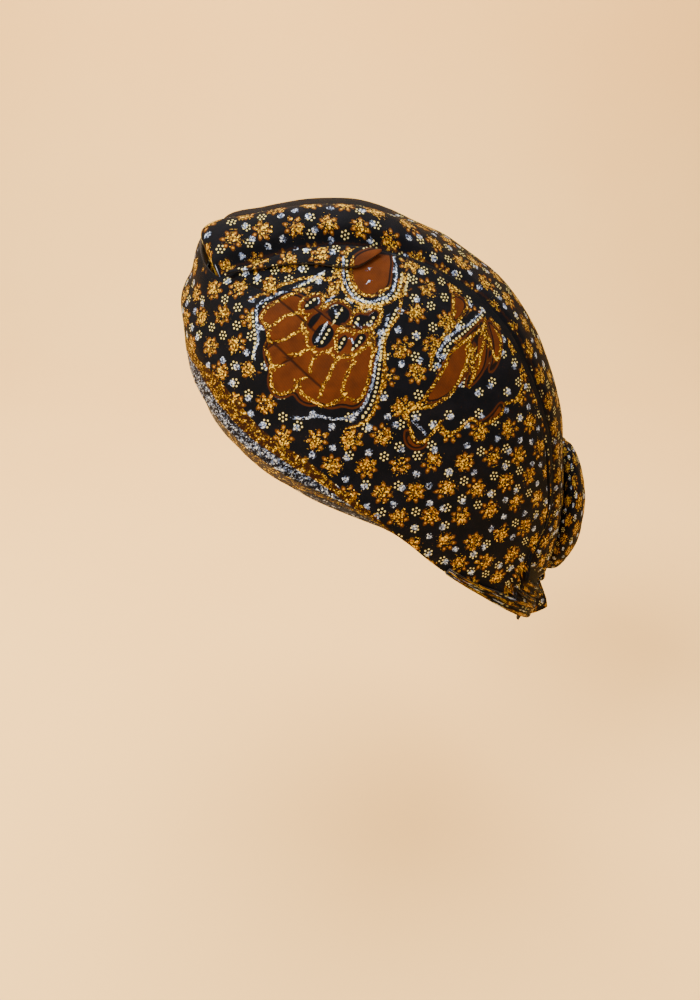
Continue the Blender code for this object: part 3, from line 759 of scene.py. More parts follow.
def panelCloth():
    cloth = Cloth("batikPanel")
    names = ("areas", "goldLine", "silverLine", "dotLine", "creaseLine", "stripes", "edges")
    fields = {name: cloth.shader.parts(cloth.shader.attribute(name)) for name in names}
    brown, black, field = fields["areas"]
    cloth.smallRepeat(field.edge(-0.4, 0.4), brown.edge(0.3, 1.0))
    cloth.motifs(brown, black, fields["goldLine"], fields["silverLine"], fields["dotLine"])
    overTop, overFold, seamShade = fields["stripes"]
    cloth.stripe(overTop, cloth.gold, inks["petalDark"])
    cloth.stripe(overFold, cloth.silver, inks["groundLight"])
    fromTop, valley, _ = fields["edges"]
    # painted shade of the seam's recess: a dark band along the panel's top edge
    cloth.cover((fromTop + cloth.wobble * 0.6).under(1.3, 0.4) * 0.95, inks["ground"])
    # painted shade along the seam and in the fold beside it at the back
    cloth.cover(seamShade.edge(0.1, 0.6), inks["ground"])
    # painted shade: the crease lines are darkened, besides their dip in the bump
    side, apart, _ = fields["creaseLine"]
    fold = abs(side).under(0.42, 0.34) * apart.under(1.2, 0.4)
    cloth.ink(fold * 0.75, inks["brownLine"])
    cloth.cover(valley.edge(0.1, 0.8) * 0.85, inks["brownLine"])  # shade deep in the gathers
    return cloth.finish(fold * 0.5)


def crownCloth():
    cloth = Cloth("batikCrown")
    inside, valleyShade, patch = cloth.shader.parts(cloth.shader.attribute("crownFields"))
    # painted shade: the print is left off in the valley, where the cloth shows black
    printed = valleyShade.edge(-0.3, 0.5) * patch.edge(-0.3, 0.5)
    cloth.smallRepeat(printed, printed)
    cloth.cover(patch.under(0.0, 0.3), inks["brown"])
    cloth.sprinkle((abs(patch) + cloth.wobble * 0.6).under(0.6, 0.3), cloth.gold)
    # painted shade of the seam's recess: a dark band on the crown along the seam
    cloth.cover((inside + cloth.wobble * 1.2).under(2.6, 0.5), inks["ground"])
    # painted light on the crown's edge where it turns under the seam: a faint brown line
    cloth.ink(abs(inside - 3.4 + cloth.wobble * 1.2).under(0.35, 0.25) * 0.6, inks["petalDark"])
    return cloth.finish()


def smallCloth():
    cloth = Cloth("batikSmall")
    cloth.smallRepeat()
    return cloth.finish()


def reverseMaterial():  # the cloth's inner face, where the print shows through faintly
    shader = Shader("batikReverse")
    mmUv = shader.mmUv()
    u, v, _ = shader.parts(mmUv)
    petal = flowerLayer(shader, u, v)[1]
    colour = shader.mix(petal.under(1.1, 0.5) * 0.55, inks["reverse"], inks["petalDark"])
    colour = shader.mix(shader.noise(mmUv, 0.2, 3.0).edge(0.35, 0.7) * 0.4, colour, inks["groundLight"])
    roughness = 0.85 - shader.noise(mmUv, 1.3) * 0.1
    return shader.finish({"Base Color": colour, "Roughness": roughness}, 0.5, 0.4 * mm, weave(shader, mmUv))


def borderMaterial(name, deep, middle, bright, base, cover):  # cloth nearly covered in glitter
    shader = Shader(name)
    mmUv = shader.mmUv()
    glitter = Glitter(shader, mmUv, deep, middle, bright, 0.0)
    u, v, _ = shader.parts(mmUv)
    streaks = shader.noise(shader.vector(u * 0.35, v * 1.4), 0.9, 4.0, 0.65)
    covered = (streaks + shader.noise(mmUv, 0.5, 3.0) * 0.5).edge(0.75 - cover, 0.95 - cover)
    threads = (v * (2 * math.pi / 1.1)).math("SINE") * 0.5 + 0.5
    covered = covered * glitter.there
    sockets = {
        "Base Color": shader.mix(covered * (0.45 + threads * 0.55), base, glitter.colour),
        "Roughness": 0.72 - covered * glitter.shade * 0.35,
        "Metallic": covered * 0.4,
    }
    height = covered * glitter.shade * 0.2 + threads * 0.12 + weave(shader, mmUv) * 0.05
    return shader.finish(sockets, 0.7, 0.6 * mm, height)


print("materials")
panelMaterial, crownMaterial, plainMaterial = panelCloth(), crownCloth(), smallCloth()
innerMaterial = reverseMaterial()
goldMaterial = borderMaterial(
    "goldBorder", inks["goldDeep"], inks["gold"], inks["goldBright"], inks["goldBase"], 0.08,
)
silverMaterial = borderMaterial(
    "silverBorder", inks["silverDeep"], inks["borderSilver"], inks["borderSilverBright"], inks["silverBase"], 0.05,
)

# Making and placing the cloth pieces

sides = (("Left", 1), ("Right", -1))


def meshFrom(name, bm):
    mesh = bpy.data.meshes.new(name)
    bm.to_mesh(mesh)
    bm.free()
    mesh.shade_smooth()
    return mesh


def addObject(name, data):
    obj = bpy.data.objects.new(name, data)
    bpy.context.scene.collection.objects.link(obj)
    return obj


def setMap(mesh, uvs):  # the cloth's metric map
    corners = np.zeros(len(mesh.loops), np.int32)
    mesh.loops.foreach_get("vertex_index", corners)
    mesh.uv_layers.new(name="cloth").data.foreach_set("uv", uvs[corners].astype(np.float32).ravel())


def clothObject(name, bm, side, uvs, fields, materials):  # the sheet as an object, with its map and fields
    if side < 0:
        for vert in bm.verts:
            vert.co.x = -vert.co.x
        bmesh.ops.reverse_faces(bm, faces=bm.faces)
    bm.normal_update()
    outward = sum(face.normal.dot(face.calc_center_median()) * face.calc_area() for face in bm.faces)
    if outward < 0:
        bmesh.ops.reverse_faces(bm, faces=bm.faces)
    mesh = meshFrom(name, bm)
    setMap(mesh, uvs)
    for field, values in fields.items():
        made = mesh.attributes.new(field, "FLOAT_VECTOR", "POINT")
        made.data.foreach_set("vector", values.astype(np.float32).ravel())
    for material in materials:
        mesh.materials.append(material)
    return addObject(name, mesh)


def ballMesh(u, v):  # a unit ball, and its points
    bm = bmesh.new()
    bmesh.ops.create_uvsphere(bm, u_segments=u, v_segments=v, radius=1)
    return bm, np.array([vert.co[:] for vert in bm.verts])


def setPoints(bm, points):
    for vert, point in zip(bm.verts, points):
        vert.co = point


def addWall(obj, wall):  # its inner face and its rim take the second material
    solidify = obj.modifiers.new("cloth", "SOLIDIFY")
    solidify.thickness = wall
    solidify.offset = -1
    solidify.use_quality_normals = True
    solidify.material_offset = 1
    solidify.material_offset_rim = 1


def plainMap(wide, high):  # for cloth whose print doesn't follow the form
    return lambda base, points, first, second: np.stack([first * wide, second * high], -1)


def addSheet(name, side, sheet, pointsAt, uvAt, fieldsAt, material):
    bm = bmesh.new()
    bmesh.ops.create_grid(bm, x_segments=sheet["columns"], y_segments=sheet["rows"], size=0.5)
    places = np.array([vert.co[:2] for vert in bm.verts])
    first, second = places[:, 0] + 0.5, places[:, 1] + 0.5
    points, base = pointsAt(first, second)
    setPoints(bm, points)
    uvs = uvAt(base, points, first, second)
    fields = fieldsAt(uvs, first, second) if fieldsAt else {}
    obj = clothObject(name, bm, side, uvs, fields, [material, innerMaterial])
    addWall(obj, sheet["wall"])
    return obj


def place(obj, node, slot):
    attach(obj, "root")
    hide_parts(node)


def placeSheet(obj, node, slot="batik", area="area"):
    place(obj, node, slot)


def clearOfMiddle(points):  # the two halves meet in the middle plane and don't cross it
    points = points.copy()
    points[:, 0] = np.maximum(points[:, 0], 0)
    return points


def runAcross(points, first, second):  # how far each grid point is along its own line from second = 0
    columns, i = np.unique(np.round(first, 5), return_inverse=True)
    rows, j = np.unique(np.round(second, 5), return_inverse=True)
    table = np.zeros((len(columns), len(rows), 3))
    table[i, j] = points
    steps = length(np.diff(table, axis=1))
    return np.concatenate([np.zeros((len(columns), 1)), np.cumsum(steps, axis=1)], axis=1)[i, j]


# Side panels

panel = {
    "columns": 250,
    "rows": 150,
    "wall": 1.4 * mm,
    "edgeLift": 2.1 * mm,  # its lower edge over the borders
    "edgeRun": 16 * mm,
    "liftEase": (84, 100),
    "frontFlare": 0.8 * mm,
    "gatherDepth": 2.0 * mm,
    "gatherCount": 3,
    "gatherEase": (7.6 * mm, 15.2 * mm),  # heights over the rim
    "fineGathers": 1.0 * mm,
    "foldPlace": 5.4,  # the fold beside the seam, in millimetres from it
    "foldWidth": 1.1,
    "foldDepth": 0.9 * mm,
    "drawnIn": 2.0 * mm,
    "pucker": {"reach": 6 * mm, "size": 7 * mm, "rise": 0.56 * mm},
    "lowRipple": {"reach": 7 * mm, "size": 9 * mm, "rise": 0.3 * mm},
    "broadRipple": {"size": 46 * mm, "rise": 0.45 * mm},
    "roundedEdge": {"reach": 1.3 * mm, "drop": 0.35 * mm},
    "creases": {
        "soft": [(-61, 117.5), (-48, 113), (-37, 107.5), (-26.5, 99), (-19, 92)],
        "iron": [(-38.5, 90.5), (-30.5, 83), (-23.5, 76.5), (-17.5, 71.5)],
        "crossA": [(-39, 86.5), (-35, 89.5)],
        "crossB": [(-32.5, 81), (-29.5, 82.5)],
    },
    # each crease's width and depth, in millimetres
    "creaseForms": {"soft": (2.2, 0.9), "iron": (0.9, 0.45), "crossA": (0.8, 0.3), "crossB": (0.8, 0.3)},
    "flat": (0.26, 0.15),
    "area": 0.0285,
}
# rim angle, and the heights of the gold stripe's upper edge and of the silver one's
stripes = [
    (0, 4.0, 2.0), (13, 4.0, 2.1), (23, 4.8, 2.7), (29, 5.0, 3.3), (36, 6.2, 2.9), (42, 6.7, 3.2),
    (48, 6.7, 3.9), (54, 7.6, 5.2), (60, 9.6, 6.8), (65, 10.7, 8.3), (72, 11.3, 9.5),
    (79, 12.3, 10.6), (86, 12.3, 11.4), (95, 12.1, 11.6), (106, 11.5, 11.0), (180, 4.0, 3.0),
]
stripeTop = smoothCurve(stripes, 0, 1)
stripeMiddle = smoothCurve(stripes, 0, 2)


def creaseDip(uv, name):
    width, depth = panel["creaseForms"][name]
    away = lineDistance(uv, {name: panel["creases"][name]})[:, 1]
    return -depth * mm * np.exp(-((away / width) ** 2))


def napeGathers(along, up):  # narrow folds that run together at the knot
    wave = 2 * math.pi * 6.5 * up + 2.2 * np.sin(along * 19) + 1.1 * np.sin(up * 17 + along * 31)
    strength = ease(along, 0.76, 0.92) * (1 - ease(along, 0.975, 1.0))
    strength = strength * ease(up, 0.02, 0.12) * (1 - ease(up, 0.86, 1))
    return strength, strength * np.sin(wave)


def besideSeam(along, fromTop):  # a fold that runs beside the seam low at the back, in mm of distance
    rimAngle = along * 180
    reach = ease(rimAngle, 112, 124) * (1 - ease(rimAngle, 150, 158))
    return reach * np.exp(-(((fromTop - panel["foldPlace"]) / panel["foldWidth"]) ** 2))


def closerAtEdges(up):  # the grid's rows lie closer together at both edges
    return up - 0.05 * np.sin(2 * math.pi * up)


def panelLines(along, up):  # the rim angle, the direction, and how far the panel's line turns in all
    rimAngle = along * 180
    foot, top = panelEnds(rimAngle)
    return rimAngle, between(foot, top, up), np.arccos(np.clip((foot * top).sum(-1), -1, 1))


def panelPoints(along, up):
    up = closerAtEdges(up)
    rimAngle, direction, turn = panelLines(along, up)
    base = onForm(direction)
    height = length(base) * turn * up
    fromTop = length(base) * turn * (1 - up)
    lift = 1 - ease(rimAngle, *panel["liftEase"])
    offset = panel["edgeLift"] * lift * (1 - ease(height, 0, panel["edgeRun"]))
    standing = 1 - ease(rimAngle, form["cornerRimAngle"] - 8, form["cornerRimAngle"])
    offset += panel["frontFlare"] * standing * ease(up, 0.55, 1)
    gathered = ease(along, 0.70, 0.94) * (1 - ease(along, 0.94, 1.0))
    shaped = gathered * ease(height, *panel["gatherEase"]) * (1 - ease(up, 0.8, 1))
    offset += panel["gatherDepth"] * shaped * (0.5 - 0.5 * np.cos(2 * math.pi * panel["gatherCount"] * up))
    strength, waves = napeGathers(along, up)
    offset += panel["fineGathers"] * (strength + waves) - panel["foldDepth"] * besideSeam(along, fromTop / mm)
    pucker, low, broad, edge = panel["pucker"], panel["lowRipple"], panel["broadRipple"], panel["roundedEdge"]
    nearSeam = np.exp(-fromTop / pucker["reach"]) * ease(fromTop, 0, 1.5 * mm) * (1 - standing)
    offset += pucker["rise"] * nearSeam * ripple(base, pucker["size"], 3)
    nearEdge = np.exp(-height / low["reach"]) * ease(height, 0, 2 * mm)
    offset += low["rise"] * nearEdge * ripple(base, low["size"], 5)
    middle = ease(height, 4 * mm, 20 * mm) * ease(fromTop, 4 * mm, 16 * mm)
    offset += broad["rise"] * middle * ripple(base, broad["size"], 7)
    uv = panelUv(base) / mm
    for name in panel["creases"]:
        offset += creaseDip(uv, name)
    offset -= edge["drop"] * (1 - ease(height, 0, edge["reach"]))  # the folded lower edge is rounded over
    return clearOfMiddle(base + formNormal(base) * offset[:, None]), base


def panelMap(base, points, along, up):  # the gathers draw the print together
    drawn = napeGathers(along, closerAtEdges(up))[1] * panel["drawnIn"]
    return panelUv(base) + np.stack([drawn * 0.4, drawn], -1)


def printFields(uv):
    whole = {**motifs["field"], **{"brown" + name: outline for name, outline in motifs["brown"].items()}}
    areas = [areaDistance(uv, chart) for chart in (motifs["brown"], motifs["black"], whole)]
    lines = {"gold": motifs["gold"], "silver": motifs["silver"], "dot": motifs["dots"], "crease": panel["creases"]}
    return {"areas": np.stack(areas, -1), **{kind + "Line": lineDistance(uv, lines[kind]) for kind in lines}}


def panelFields(uvs, along, up):
    uv = uvs / mm
    up = closerAtEdges(up)
    rimAngle, direction, turn = panelLines(along, up)
    rise = np.degrees(np.arcsin(np.clip(direction @ upward, -1, 1)))
    fromTop = 110 * turn * (1 - up)  # about the form's radius there, in millimetres
    strength, waves = napeGathers(along, up)
    # painted shade in the hollows of the gathers, and a general darkening near the knot
    gathered = 0.3 * strength * ease(along, 0.86, 0.95) - waves
    # painted shade along the seam behind the ear, and a painted dark line in the fold beside it low at the back
    behind = ease(rimAngle, 66, 86) * (1 - ease(rimAngle, 150, 162))
    seamShade = np.maximum(besideSeam(along, fromTop), behind * (1 - ease(fromTop, 2.6, 3.8)))
    return {
        **printFields(uv),
        "stripes": np.stack([(rise - stripeTop(rimAngle)) * 1.6, (rise - stripeMiddle(rimAngle)) * 1.6, seamShade], -1),
        "edges": np.stack([fromTop, gathered, np.zeros(len(uv))], -1),
    }


print("side panels")
for sideName, side in sides:
    piece = addSheet("sidePanel" + sideName, side, panel, panelPoints, panelMap, panelFields, panelMaterial)
    placeSheet(piece, "side_panel_" + sideName.lower())

# Crown halves

crown = {
    "columns": 240,
    "rows": 56,
    "wall": 1.4 * mm,
    "ridge": {"place": 28 * mm, "width": 10 * mm, "rise": 6 * mm, "range": (13, 21, 44, 66)},
    "valley": {"width": 13 * mm, "drop": 6 * mm},
    "groove": {"width": 3 * mm, "drop": 1.2 * mm},
    "softRipple": {"size": 30 * mm, "rise": 0.4 * mm},
    "backGathers": {"pitch": 6.5, "rise": 0.5 * mm, "range": (120, 160)},
    "middlePucker": {"reach": 5 * mm, "size": 8 * mm, "rise": 0.25 * mm},
    "frontEnd": 12.5,  # crown angles
    "corner": 19.6,
    "backEnd": 171.5,
    "edgeEnd": 177,  # rim angle
    "rollShare": 0.12,
    "rollHalfWidth": 48.5 * mm,
    "tuck": 6 * mm,
    "tuckEase": (2.2 * mm, 8 * mm),
    "frontDrop": 5 * mm,
    "frontEase": (16.2, 19.4),
    "patch": {"brown": [(176, 0), (184, -3), (194, 0), (200, 5), (196, 10), (186, 11), (178, 7)]},
    "blackMiddle": 34,  # painted shade in the valley, where the print is left off and the cloth is black: crown angles, and mm on the left and right
    "blackHalfLength": 20,
    "blackHalfWidth": (20, 27),
    "flat": (0.33, 0.058),
    "area": 0.0172,
}


def crownRelief(points):
    angle, out = crownAngleOf(points), points[:, 0]
    ridge, valley, groove = crown["ridge"], crown["valley"], crown["groove"]
    start, full, soften, end = ridge["range"]
    ridged = ease(angle, start, full) * (1 - ease(angle, soften, end))
    relief = ridged * ridge["rise"] * np.exp(-(((out - ridge["place"]) / ridge["width"]) ** 2))
    relief -= ridged * valley["drop"] * np.exp(-((out / valley["width"]) ** 2))
    relief -= groove["drop"] * np.exp(-((out / groove["width"]) ** 2))
    inside = insideSeam(points)
    calm = ease(inside, 3 * mm, 9 * mm)
    soft, gathers, pucker = crown["softRipple"], crown["backGathers"], crown["middlePucker"]
    relief += soft["rise"] * calm * ripple(points, soft["size"], 11)
    gathered = ease(angle, *gathers["range"]) * calm
    relief += gathers["rise"] * gathered * np.sin(out / mm * 2 * math.pi / gathers["pitch"] + 0.6)
    relief += pucker["rise"] * np.exp(-((out / pucker["reach"]) ** 2)) * ripple(points, pucker["size"], 13)
    tuck = 1 - ease(inside, *crown["tuckEase"])
    relief = relief * (1 - tuck) - (panel["wall"] + 2 * form["gap"]) * tuck
    front = 1 - ease(angle, *crown["frontEase"])
    return np.minimum(relief, relief * (1 - front) - crown["frontDrop"] * front)


def crownEdge(share):
    rimAngle = form["cornerRimAngle"] + share * (crown["edgeEnd"] - form["cornerRimAngle"])
    return unit(onForm(seamDirection(rimAngle)) - towardsCrown(rimAngle) * crown["tuck"])


def crownUvs(base, points, along, across):
    return np.stack([crownUv(base)[:, 0], runAcross(points, along, across)], -1)


def crownFields(side):
    def fields(uvs, along, across):
        base = crownPoints(along, across)[1]
        angle, out = crownAngleOf(base), base[:, 0] / mm
        halfWidth = crown["blackHalfWidth"][0 if side > 0 else 1]
        lengthwise = np.abs(angle - crown["blackMiddle"]) / crown["blackHalfLength"]
        valleyShade = ((lengthwise**4 + (out / halfWidth) ** 4) ** 0.25 - 1) * halfWidth
        run = np.interp(angle, np.arange(len(crownRun)), crownRun) / mm
        patch = areaDistance(np.stack([run, out], -1), crown["patch"])
        inside = insideSeam(base) / mm - 2.0 * ease(angle, 62, 82)  # the painted seam shade is wider at the back
        return {"crownFields": np.stack([inside, valleyShade, patch], -1)}
    return fields


def crownPoints(along, across):
    start, rollEnd, end = crown["frontEnd"], crown["corner"] + 1, crown["backEnd"]
    rolled = along < crown["rollShare"]
    early = np.clip(along / crown["rollShare"], 0, 1)
    late = np.clip((along - crown["rollShare"]) / (1 - crown["rollShare"]), 0, 1)
    angle = np.where(rolled, start + early * (rollEnd - start), rollEnd + late * (end - rollEnd))
    still = np.zeros_like(along)
    rollSide = between(crownDirection(angle, still + crown["rollHalfWidth"]), crownEdge(still), early)
    edge = np.where(rolled[:, None], rollSide, crownEdge(late))
    base = onForm(between(crownDirection(angle, still), edge, across))
    return clearOfMiddle(base + formNormal(base) * crownRelief(base)[:, None]), base


print("crown")
for sideName, side in sides:
    piece = addSheet("crownHalf" + sideName, side, crown, crownPoints, crownUvs, crownFields(side), crownMaterial)
    placeSheet(piece, "crown_half_" + sideName.lower())

# Pleats along the front of the long seam

pleat = {
    "columns": 90,
    "rows": 12,
    "wall": 1.0 * mm,
    "edge": [(20.4, 46.2), (26, 46.0), (32, 46.4), (38, 47.4), (42, 48.4), (45, 48.0), (48, 45.0), (50, 41.8)],
    "ripple": 0.12 * mm,
    "bulge": 0.25 * mm,
    "flat": (0.07, 0.012),
    "area": 0.00032,
}
pleatOut = smoothCurve(pleat["edge"])


def pleatPoints(along, down):
    first, last = pleat["edge"][0][0], pleat["edge"][-1][0]
    angle = first + along * (last - first)
    upper = crownDirection(angle, seamOutAt(angle) * mm + form["gap"])
    lower = crownDirection(angle, pleatOut(angle) * mm + form["gap"])
    base = onForm(between(upper, lower, down))
    offset = form["gap"] + pleat["wall"] + pleat["ripple"] * ripple(base, 9 * mm, 17)
    offset = offset + pleat["bulge"] * np.sin(math.pi * down)
    return base + formNormal(base) * offset[:, None], base


def pleatFields(uvs, along, down):
    far, calm = np.full(len(uvs), 9.0), np.zeros(len(uvs))
    fromFoot = 1 + (1 - down) * 8  # only its lower edge gets a painted shade line
    edges = {"stripes": np.stack([far, far, calm], -1), "edges": np.stack([fromFoot, calm, calm], -1)}
    return {**printFields(uvs / mm), **edges}


def pleatMap(base, points, along, down):  # the panel's print runs on over it
    return panelUv(base)


print("pleats")
for sideName, side in sides:
    piece = addSheet("sidePleat" + sideName, side, pleat, pleatPoints, pleatMap, pleatFields, panelMaterial)
    placeSheet(piece, "side_pleat_" + sideName.lower())

# Borders

border = {
    "columns": 220,
    "rows": 14,
    "wall": 1.0 * mm,
    "end": 104,
    "lift": 0.4 * mm,
    "sink": 1.8 * mm,
    "tuck": 3.9,  # degrees
    "ripple": 0.1 * mm,
    "rounding": 0.25 * mm,
    "map": (0.19, 0.016),
    "flat": (0.2, 0.016),
    "goldArea": 0.00195,
    "silverArea": 0.0022,
}


def borderPoints(along, up, lowerRise, layer):
    rimAngle = along * border["end"]
    foot = rimDirection(rimAngle, lowerRise(rimAngle))
    top = rimDirection(rimAngle, foldRise(rimAngle) + border["tuck"])
    lifted = (1 - ease(rimAngle, *panel["liftEase"])) * (1 - up)
    offset = (border["lift"] + border["sink"]) * lifted - border["sink"] - layer
    base = onForm(between(foot, top, up))
    offset = offset + border["ripple"] * (1 - up) * ripple(base, 6 * mm, 19)
    offset = offset - border["rounding"] * (1 - ease(up, 0, 0.12))
    return clearOfMiddle(base + formNormal(base) * offset[:, None]), base


print("borders")
for sideName, side in sides:
    for kind, lowerRise, layer, material in (
        ("gold", goldRise, 0, goldMaterial),
        ("silver", rimRise, border["wall"] + form["gap"], silverMaterial),
    ):
        piece = addSheet(
            kind + "Border" + sideName, side, border,
            lambda along, up: borderPoints(along, up, lowerRise, layer), plainMap(*border["map"]), None, material,
        )
        node = kind + "_border_" + sideName.lower()
        placeSheet(piece, node, kind + "_border", kind + "Area")

# Hem round the nape

hem = {
    "columns": 260,
    "rows": 24,
    "wall": 1.4 * mm,
    "start": 112,
    "full": 150,
    "height": 7.6 * mm,
    "narrow": 0.4,
    "folds": 3,
    "foldDepth": 0.9 * mm,
    "ripple": 0.3 * mm,
    "map": (0.075, 0.034),
    "flat": (0.21, 0.012),
    "area": 0.0021,
}


def hemPoints(along, up):
    rimAngle = hem["start"] + along * (360 - 2 * hem["start"])
    mirrored = np.minimum(rimAngle, 360 - rimAngle)
    nearness = ease(mirrored, hem["start"], hem["full"])
    height = hem["height"] * (hem["narrow"] + (1 - hem["narrow"]) * nearness)
    foot = onForm(rimDirection(rimAngle, rimRise(mirrored)))
    base = onForm(unit(foot + upward * (height * up)[:, None]))
    folds = hem["foldDepth"] * nearness * (1 - np.cos(2 * math.pi * hem["folds"] * up + 0.5 * np.sin(rimAngle / 4)))
    offset = form["gap"] + hem["wall"] + folds / 2
    offset = offset + hem["ripple"] * nearness * (1 + ripple(base, 5 * mm, 23))
    return base + formNormal(base) * offset[:, None], base


print("hem")
piece = addSheet("napeHem", 1, hem, hemPoints, plainMap(*hem["map"]), None, plainMaterial)
placeSheet(piece, "nape_hem")

# Pouch: a cloth bag with a soft filling, swollen by a short cloth simulation

pouch = {
    "top": 124.0,
    "foot": 165.0,
    "halfWidth": 30 * mm,
    "rise": 14 * mm,
    "sag": 0.15,
    "undercut": 0.3,
    "shrink": 0.97,  # before it is blown up
    "pressure": 4.0,
    "steps": 20,
    "mostMove": 1.6 * mm,
    "seatBelow": -0.2,  # share of its depth under which it takes part in the seat
    "ripple": {"size": 13 * mm, "rise": 0.5 * mm},
    "endGathers": {"count": 11, "rise": 0.55 * mm},
    "mapScale": (28, 24),
    "mapShift": (0.006, 0.004),
}


def pouchPoints(ball, shrink):
    across, along, out = ball.T
    height = np.maximum(out + pouch["undercut"], 0) / (1 + pouch["undercut"]) * (1 + pouch["sag"] * along)
    middle, half = (pouch["top"] + pouch["foot"]) / 2, (pouch["foot"] - pouch["top"]) / 2
    direction = crownDirection(middle + along * half * shrink, np.abs(across) * pouch["halfWidth"] * shrink)
    points = onForm(direction, 2 * form["gap"] + 0.1 * mm + pouch["rise"] * height * shrink)
    points[:, 0] = np.copysign(points[:, 0], across)
    return points


def swell(obj, rest):  # blows the bag up, and keeps each point near where it was
    cloth = obj.modifiers.new("filling", "CLOTH")
    cloth.settings.use_pressure = True
    cloth.settings.uniform_pressure_force = pouch["pressure"]
    cloth.settings.effector_weights.gravity = 0
    cloth.settings.quality = 5
    cloth.settings.vertex_group_mass = "seat"
    cloth.point_cache.frame_start, cloth.point_cache.frame_end = 1, pouch["steps"]
    scene = bpy.context.scene
    for step in range(1, pouch["steps"] + 1):
        scene.frame_set(step)
    evaluated = obj.evaluated_get(bpy.context.evaluated_depsgraph_get())
    moved = np.array([vert.co[:] for vert in evaluated.data.vertices])
    scene.frame_set(1)
    obj.modifiers.remove(cloth)
    move = moved - rest
    far = np.maximum(length(move), 1e-9)
    return rest + move * (np.minimum(far, pouch["mostMove"]) / far)[:, None]


print("pouch")
bm, ball = ballMesh(72, 44)
rest = pouchPoints(ball, pouch["shrink"])
setPoints(bm, rest)
bm.normal_update()
bmesh.ops.recalc_face_normals(bm, faces=bm.faces)
tilt = np.arccos(np.clip(ball[:, 2], -1, 1))
flatWay = ball[:, 1::-1] / np.maximum(np.hypot(ball[:, 0], ball[:, 1]), 1e-6)[:, None]
pouchUv = flatWay * tilt[:, None] * np.array(pouch["mapScale"]) * mm + np.array(pouch["mapShift"])
mesh = meshFrom("backPouch", bm)
pouchPiece = addObject("backPouch", mesh)
seat = pouchPiece.vertex_groups.new(name="seat")
seat.add([int(i) for i in np.flatnonzero(ball[:, 2] < pouch["seatBelow"])], 1.0, "REPLACE")
swollen = swell(pouchPiece, rest)
normals = unit(formNormal(unit(swollen)))
pulled = pouch["ripple"]["rise"] * ripple(swollen, pouch["ripple"]["size"], 29) * (ball[:, 2] > -0.1)
ends = np.exp(-((1 - np.abs(ball[:, 1])) / 0.28) ** 2) * (ball[:, 2] > -0.15)
around = np.arctan2(ball[:, 0], ball[:, 2] + 0.3)
pulled += pouch["endGathers"]["rise"] * ends * np.sin(around * pouch["endGathers"]["count"])
swollen = swollen + normals * pulled[:, None]
mesh.vertices.foreach_set("co", swollen.astype(np.float32).ravel())
mesh.update()
setMap(mesh, pouchUv)
mesh.materials.append(plainMaterial)
place(pouchPiece, "back_pouch", "batik")

# Knot and tail

knot = {"angle": 167.5, "offset": 4.4 * mm, "halfSize": (8.0 * mm, 4.6 * mm, 3.3 * mm), "wraps": 4, "twist": 0.1}


def addKnot():
    bm, ball = ballMesh(72, 36)
    base = onForm(crownDirection(np.array([knot["angle"]]), np.array([0.0])))
    outward = formNormal(base)[0]
    down = np.cross(sideways, outward)
    across, along, out = ball.T
    twist = 1 + knot["twist"] * np.sin(knot["wraps"] * (across * 2.2 + along * 1.2)) * (1 - across**2)
    halfWidth, halfDepth, halfHeight = knot["halfSize"]
    points = (
        base + (across * halfWidth)[:, None] * sideways
        + (knot["offset"] + out * halfDepth * twist)[:, None] * outward
        + (along * halfHeight * twist)[:, None] * down
    )
    setPoints(bm, points)
    bm.normal_update()
    bmesh.ops.recalc_face_normals(bm, faces=bm.faces)
    mesh = meshFrom("napeKnot", bm)
    setMap(mesh, np.stack([across * 0.012, np.arctan2(out, along) * 0.004], -1))
    mesh.materials.append(plainMaterial)
    obj = addObject("napeKnot", mesh)
    place(obj, "nape_knot", "batik")


tail = {
    "columns": 150,
    "rows": 40,
    "wall": 1.4 * mm,
    # share down, height, place at the back, half width and fold depth, in millimetres
    "sections": [
        (0, -59.6, 97.4, 5, 1.2), (0.35, -66.5, 96.8, 8.8, 4.6), (0.7, -72.4, 96.4, 11.4, 7.3),
        (1, -78, 95.4, 13.4, 9.6),
    ],
    "map": (0.05, 0.019),
    "flat": (0.05, 0.019),
    "area": 0.00085,
}
tailHeight, tailBack, tailHalfWidth, tailFold = [smoothCurve(tail["sections"], 0, i) for i in (1, 2, 3, 4)]


def tailPoints(across, down):
    share = 2 * across - 1
    wave = np.cos(math.pi * share)
    back = tailBack(down) + tailFold(down) * wave
    points = np.stack([tailHalfWidth(down) * share, back, tailHeight(down)], -1) * mm
    points[:, 1] += 0.35 * mm * down * np.sin(share * 14)
    points[:, 2] += 0.4 * mm * down * np.sin(share * 9 + 1)
    return points, points


print("knot and tail")
addKnot()
piece = addSheet("napeTail", 1, tail, tailPoints, plainMap(*tail["map"]), None, plainMaterial)
placeSheet(piece, "nape_tail")

# Floor, light and camera

studio = {
    "floorHeight": -0.21,
    "bendFrom": -0.75,  # where the floor starts to turn up into the backdrop
    "bend": 0.6,
    "halfWidth": 5.0,
    "front": 3.0,
    "wallHeight": 3.0,
    "shares": (0.3, 0.8),  # of its length: where the bend starts and ends
    "paper": srgb(255, 212, 132),
    "paperShade": srgb(248, 198, 118),
    "ambient": 0.55,
    "ambientColour": (1.0, 0.97, 0.93, 1),
}
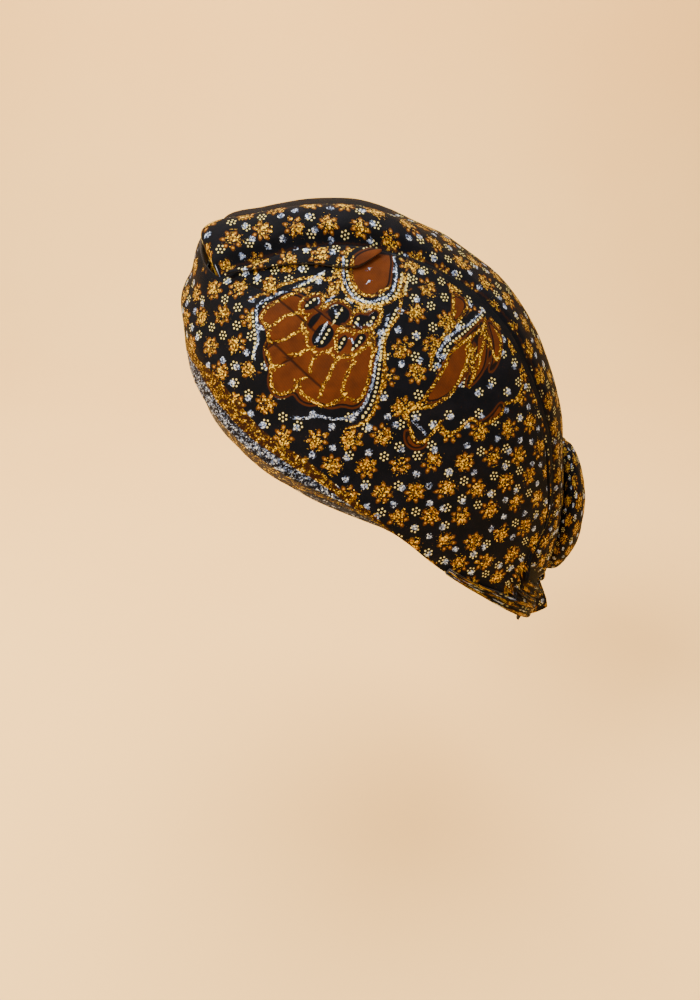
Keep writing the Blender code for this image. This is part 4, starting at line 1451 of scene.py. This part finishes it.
# each light's place, aim, size, power and colour
lights = {
    "key": ((0.75, -1.1, 1.35), (0, 0, 0.02), 0.8, 74, (1, 0.92, 0.8)),
    "fill": ((1.1, 0.8, 0.5), (0, 0, 0.02), 1.4, 4, (1, 0.95, 0.9)),
    "top": ((-0.3, 0.1, 1.5), (0, 0, 0.02), 1.2, 33, (1, 0.94, 0.84)),
    "paperLight": ((-0.4, -0.3, 1.1), (-1.4, -0.1, -0.1), 0.9, 8, (1, 0.92, 0.8)),
}
camera = {"place": (0.330, -0.00643, 0.14955), "pitch": 26, "lens": 25.2}


def addStage():
    bm = bmesh.new()
    bmesh.ops.create_grid(bm, x_segments=60, y_segments=2, size=0.5)
    floor, bend, bendFrom = studio["floorHeight"], studio["bend"], studio["bendFrom"]
    start, end = studio["shares"]
    for vert in bm.verts:
        share = vert.co.x + 0.5
        if share < start:
            x, z = studio["front"] - (studio["front"] - bendFrom) * share / start, floor
        elif share < end:
            angle = (share - start) / (end - start) * math.pi / 2
            x, z = bendFrom - bend * math.sin(angle), floor + bend * (1 - math.cos(angle))
        else:
            x, z = bendFrom - bend, floor + bend + (share - end) / (1 - end) * studio["wallHeight"]
        vert.co = (x, vert.co.y * 2 * studio["halfWidth"], z)
    bmesh.ops.recalc_face_normals(bm, faces=bm.faces)
    mesh = meshFrom("floor", bm)
    shader = Shader("palePaper")
    objectPlace = shader.node("ShaderNodeTexCoord", None, None, 3)
    mottled = shader.mix(shader.noise(objectPlace, 2.5, 4.0), studio["paper"], studio["paperShade"])
    mesh.materials.append(shader.finish({"Base Color": mottled, "Roughness": 0.9}))
    addObject("floor", mesh)


def addLight(name, spot, aim, size, power, colour):
    data = bpy.data.lights.new(name, "AREA")
    data.size, data.energy, data.color = size, power, colour
    obj = addObject(name, data)
    obj.location = spot
    obj.rotation_euler = (Vector(aim) - Vector(spot)).to_track_quat("-Z", "Y").to_euler()


print("stage")
addStage()
for name, light in lights.items():
    addLight(name, *light)
world = bpy.data.worlds.new("studio")
bpy.context.scene.world = world
world.use_nodes = True
background = world.node_tree.nodes["Background"]
background.inputs["Color"].default_value = studio["ambientColour"]
background.inputs["Strength"].default_value = studio["ambient"]

cameraData = bpy.data.cameras.new("camera")
cameraData.sensor_fit = "AUTO"
cameraData.sensor_width = 36
cameraData.lens = camera["lens"]
cameraData.clip_start = 0.01
cameraObject = addObject("camera", cameraData)
cameraObject.location = camera["place"]
cameraObject.rotation_euler = (math.radians(90 - camera["pitch"]), 0, math.radians(90))
bpy.context.scene.camera = cameraObject
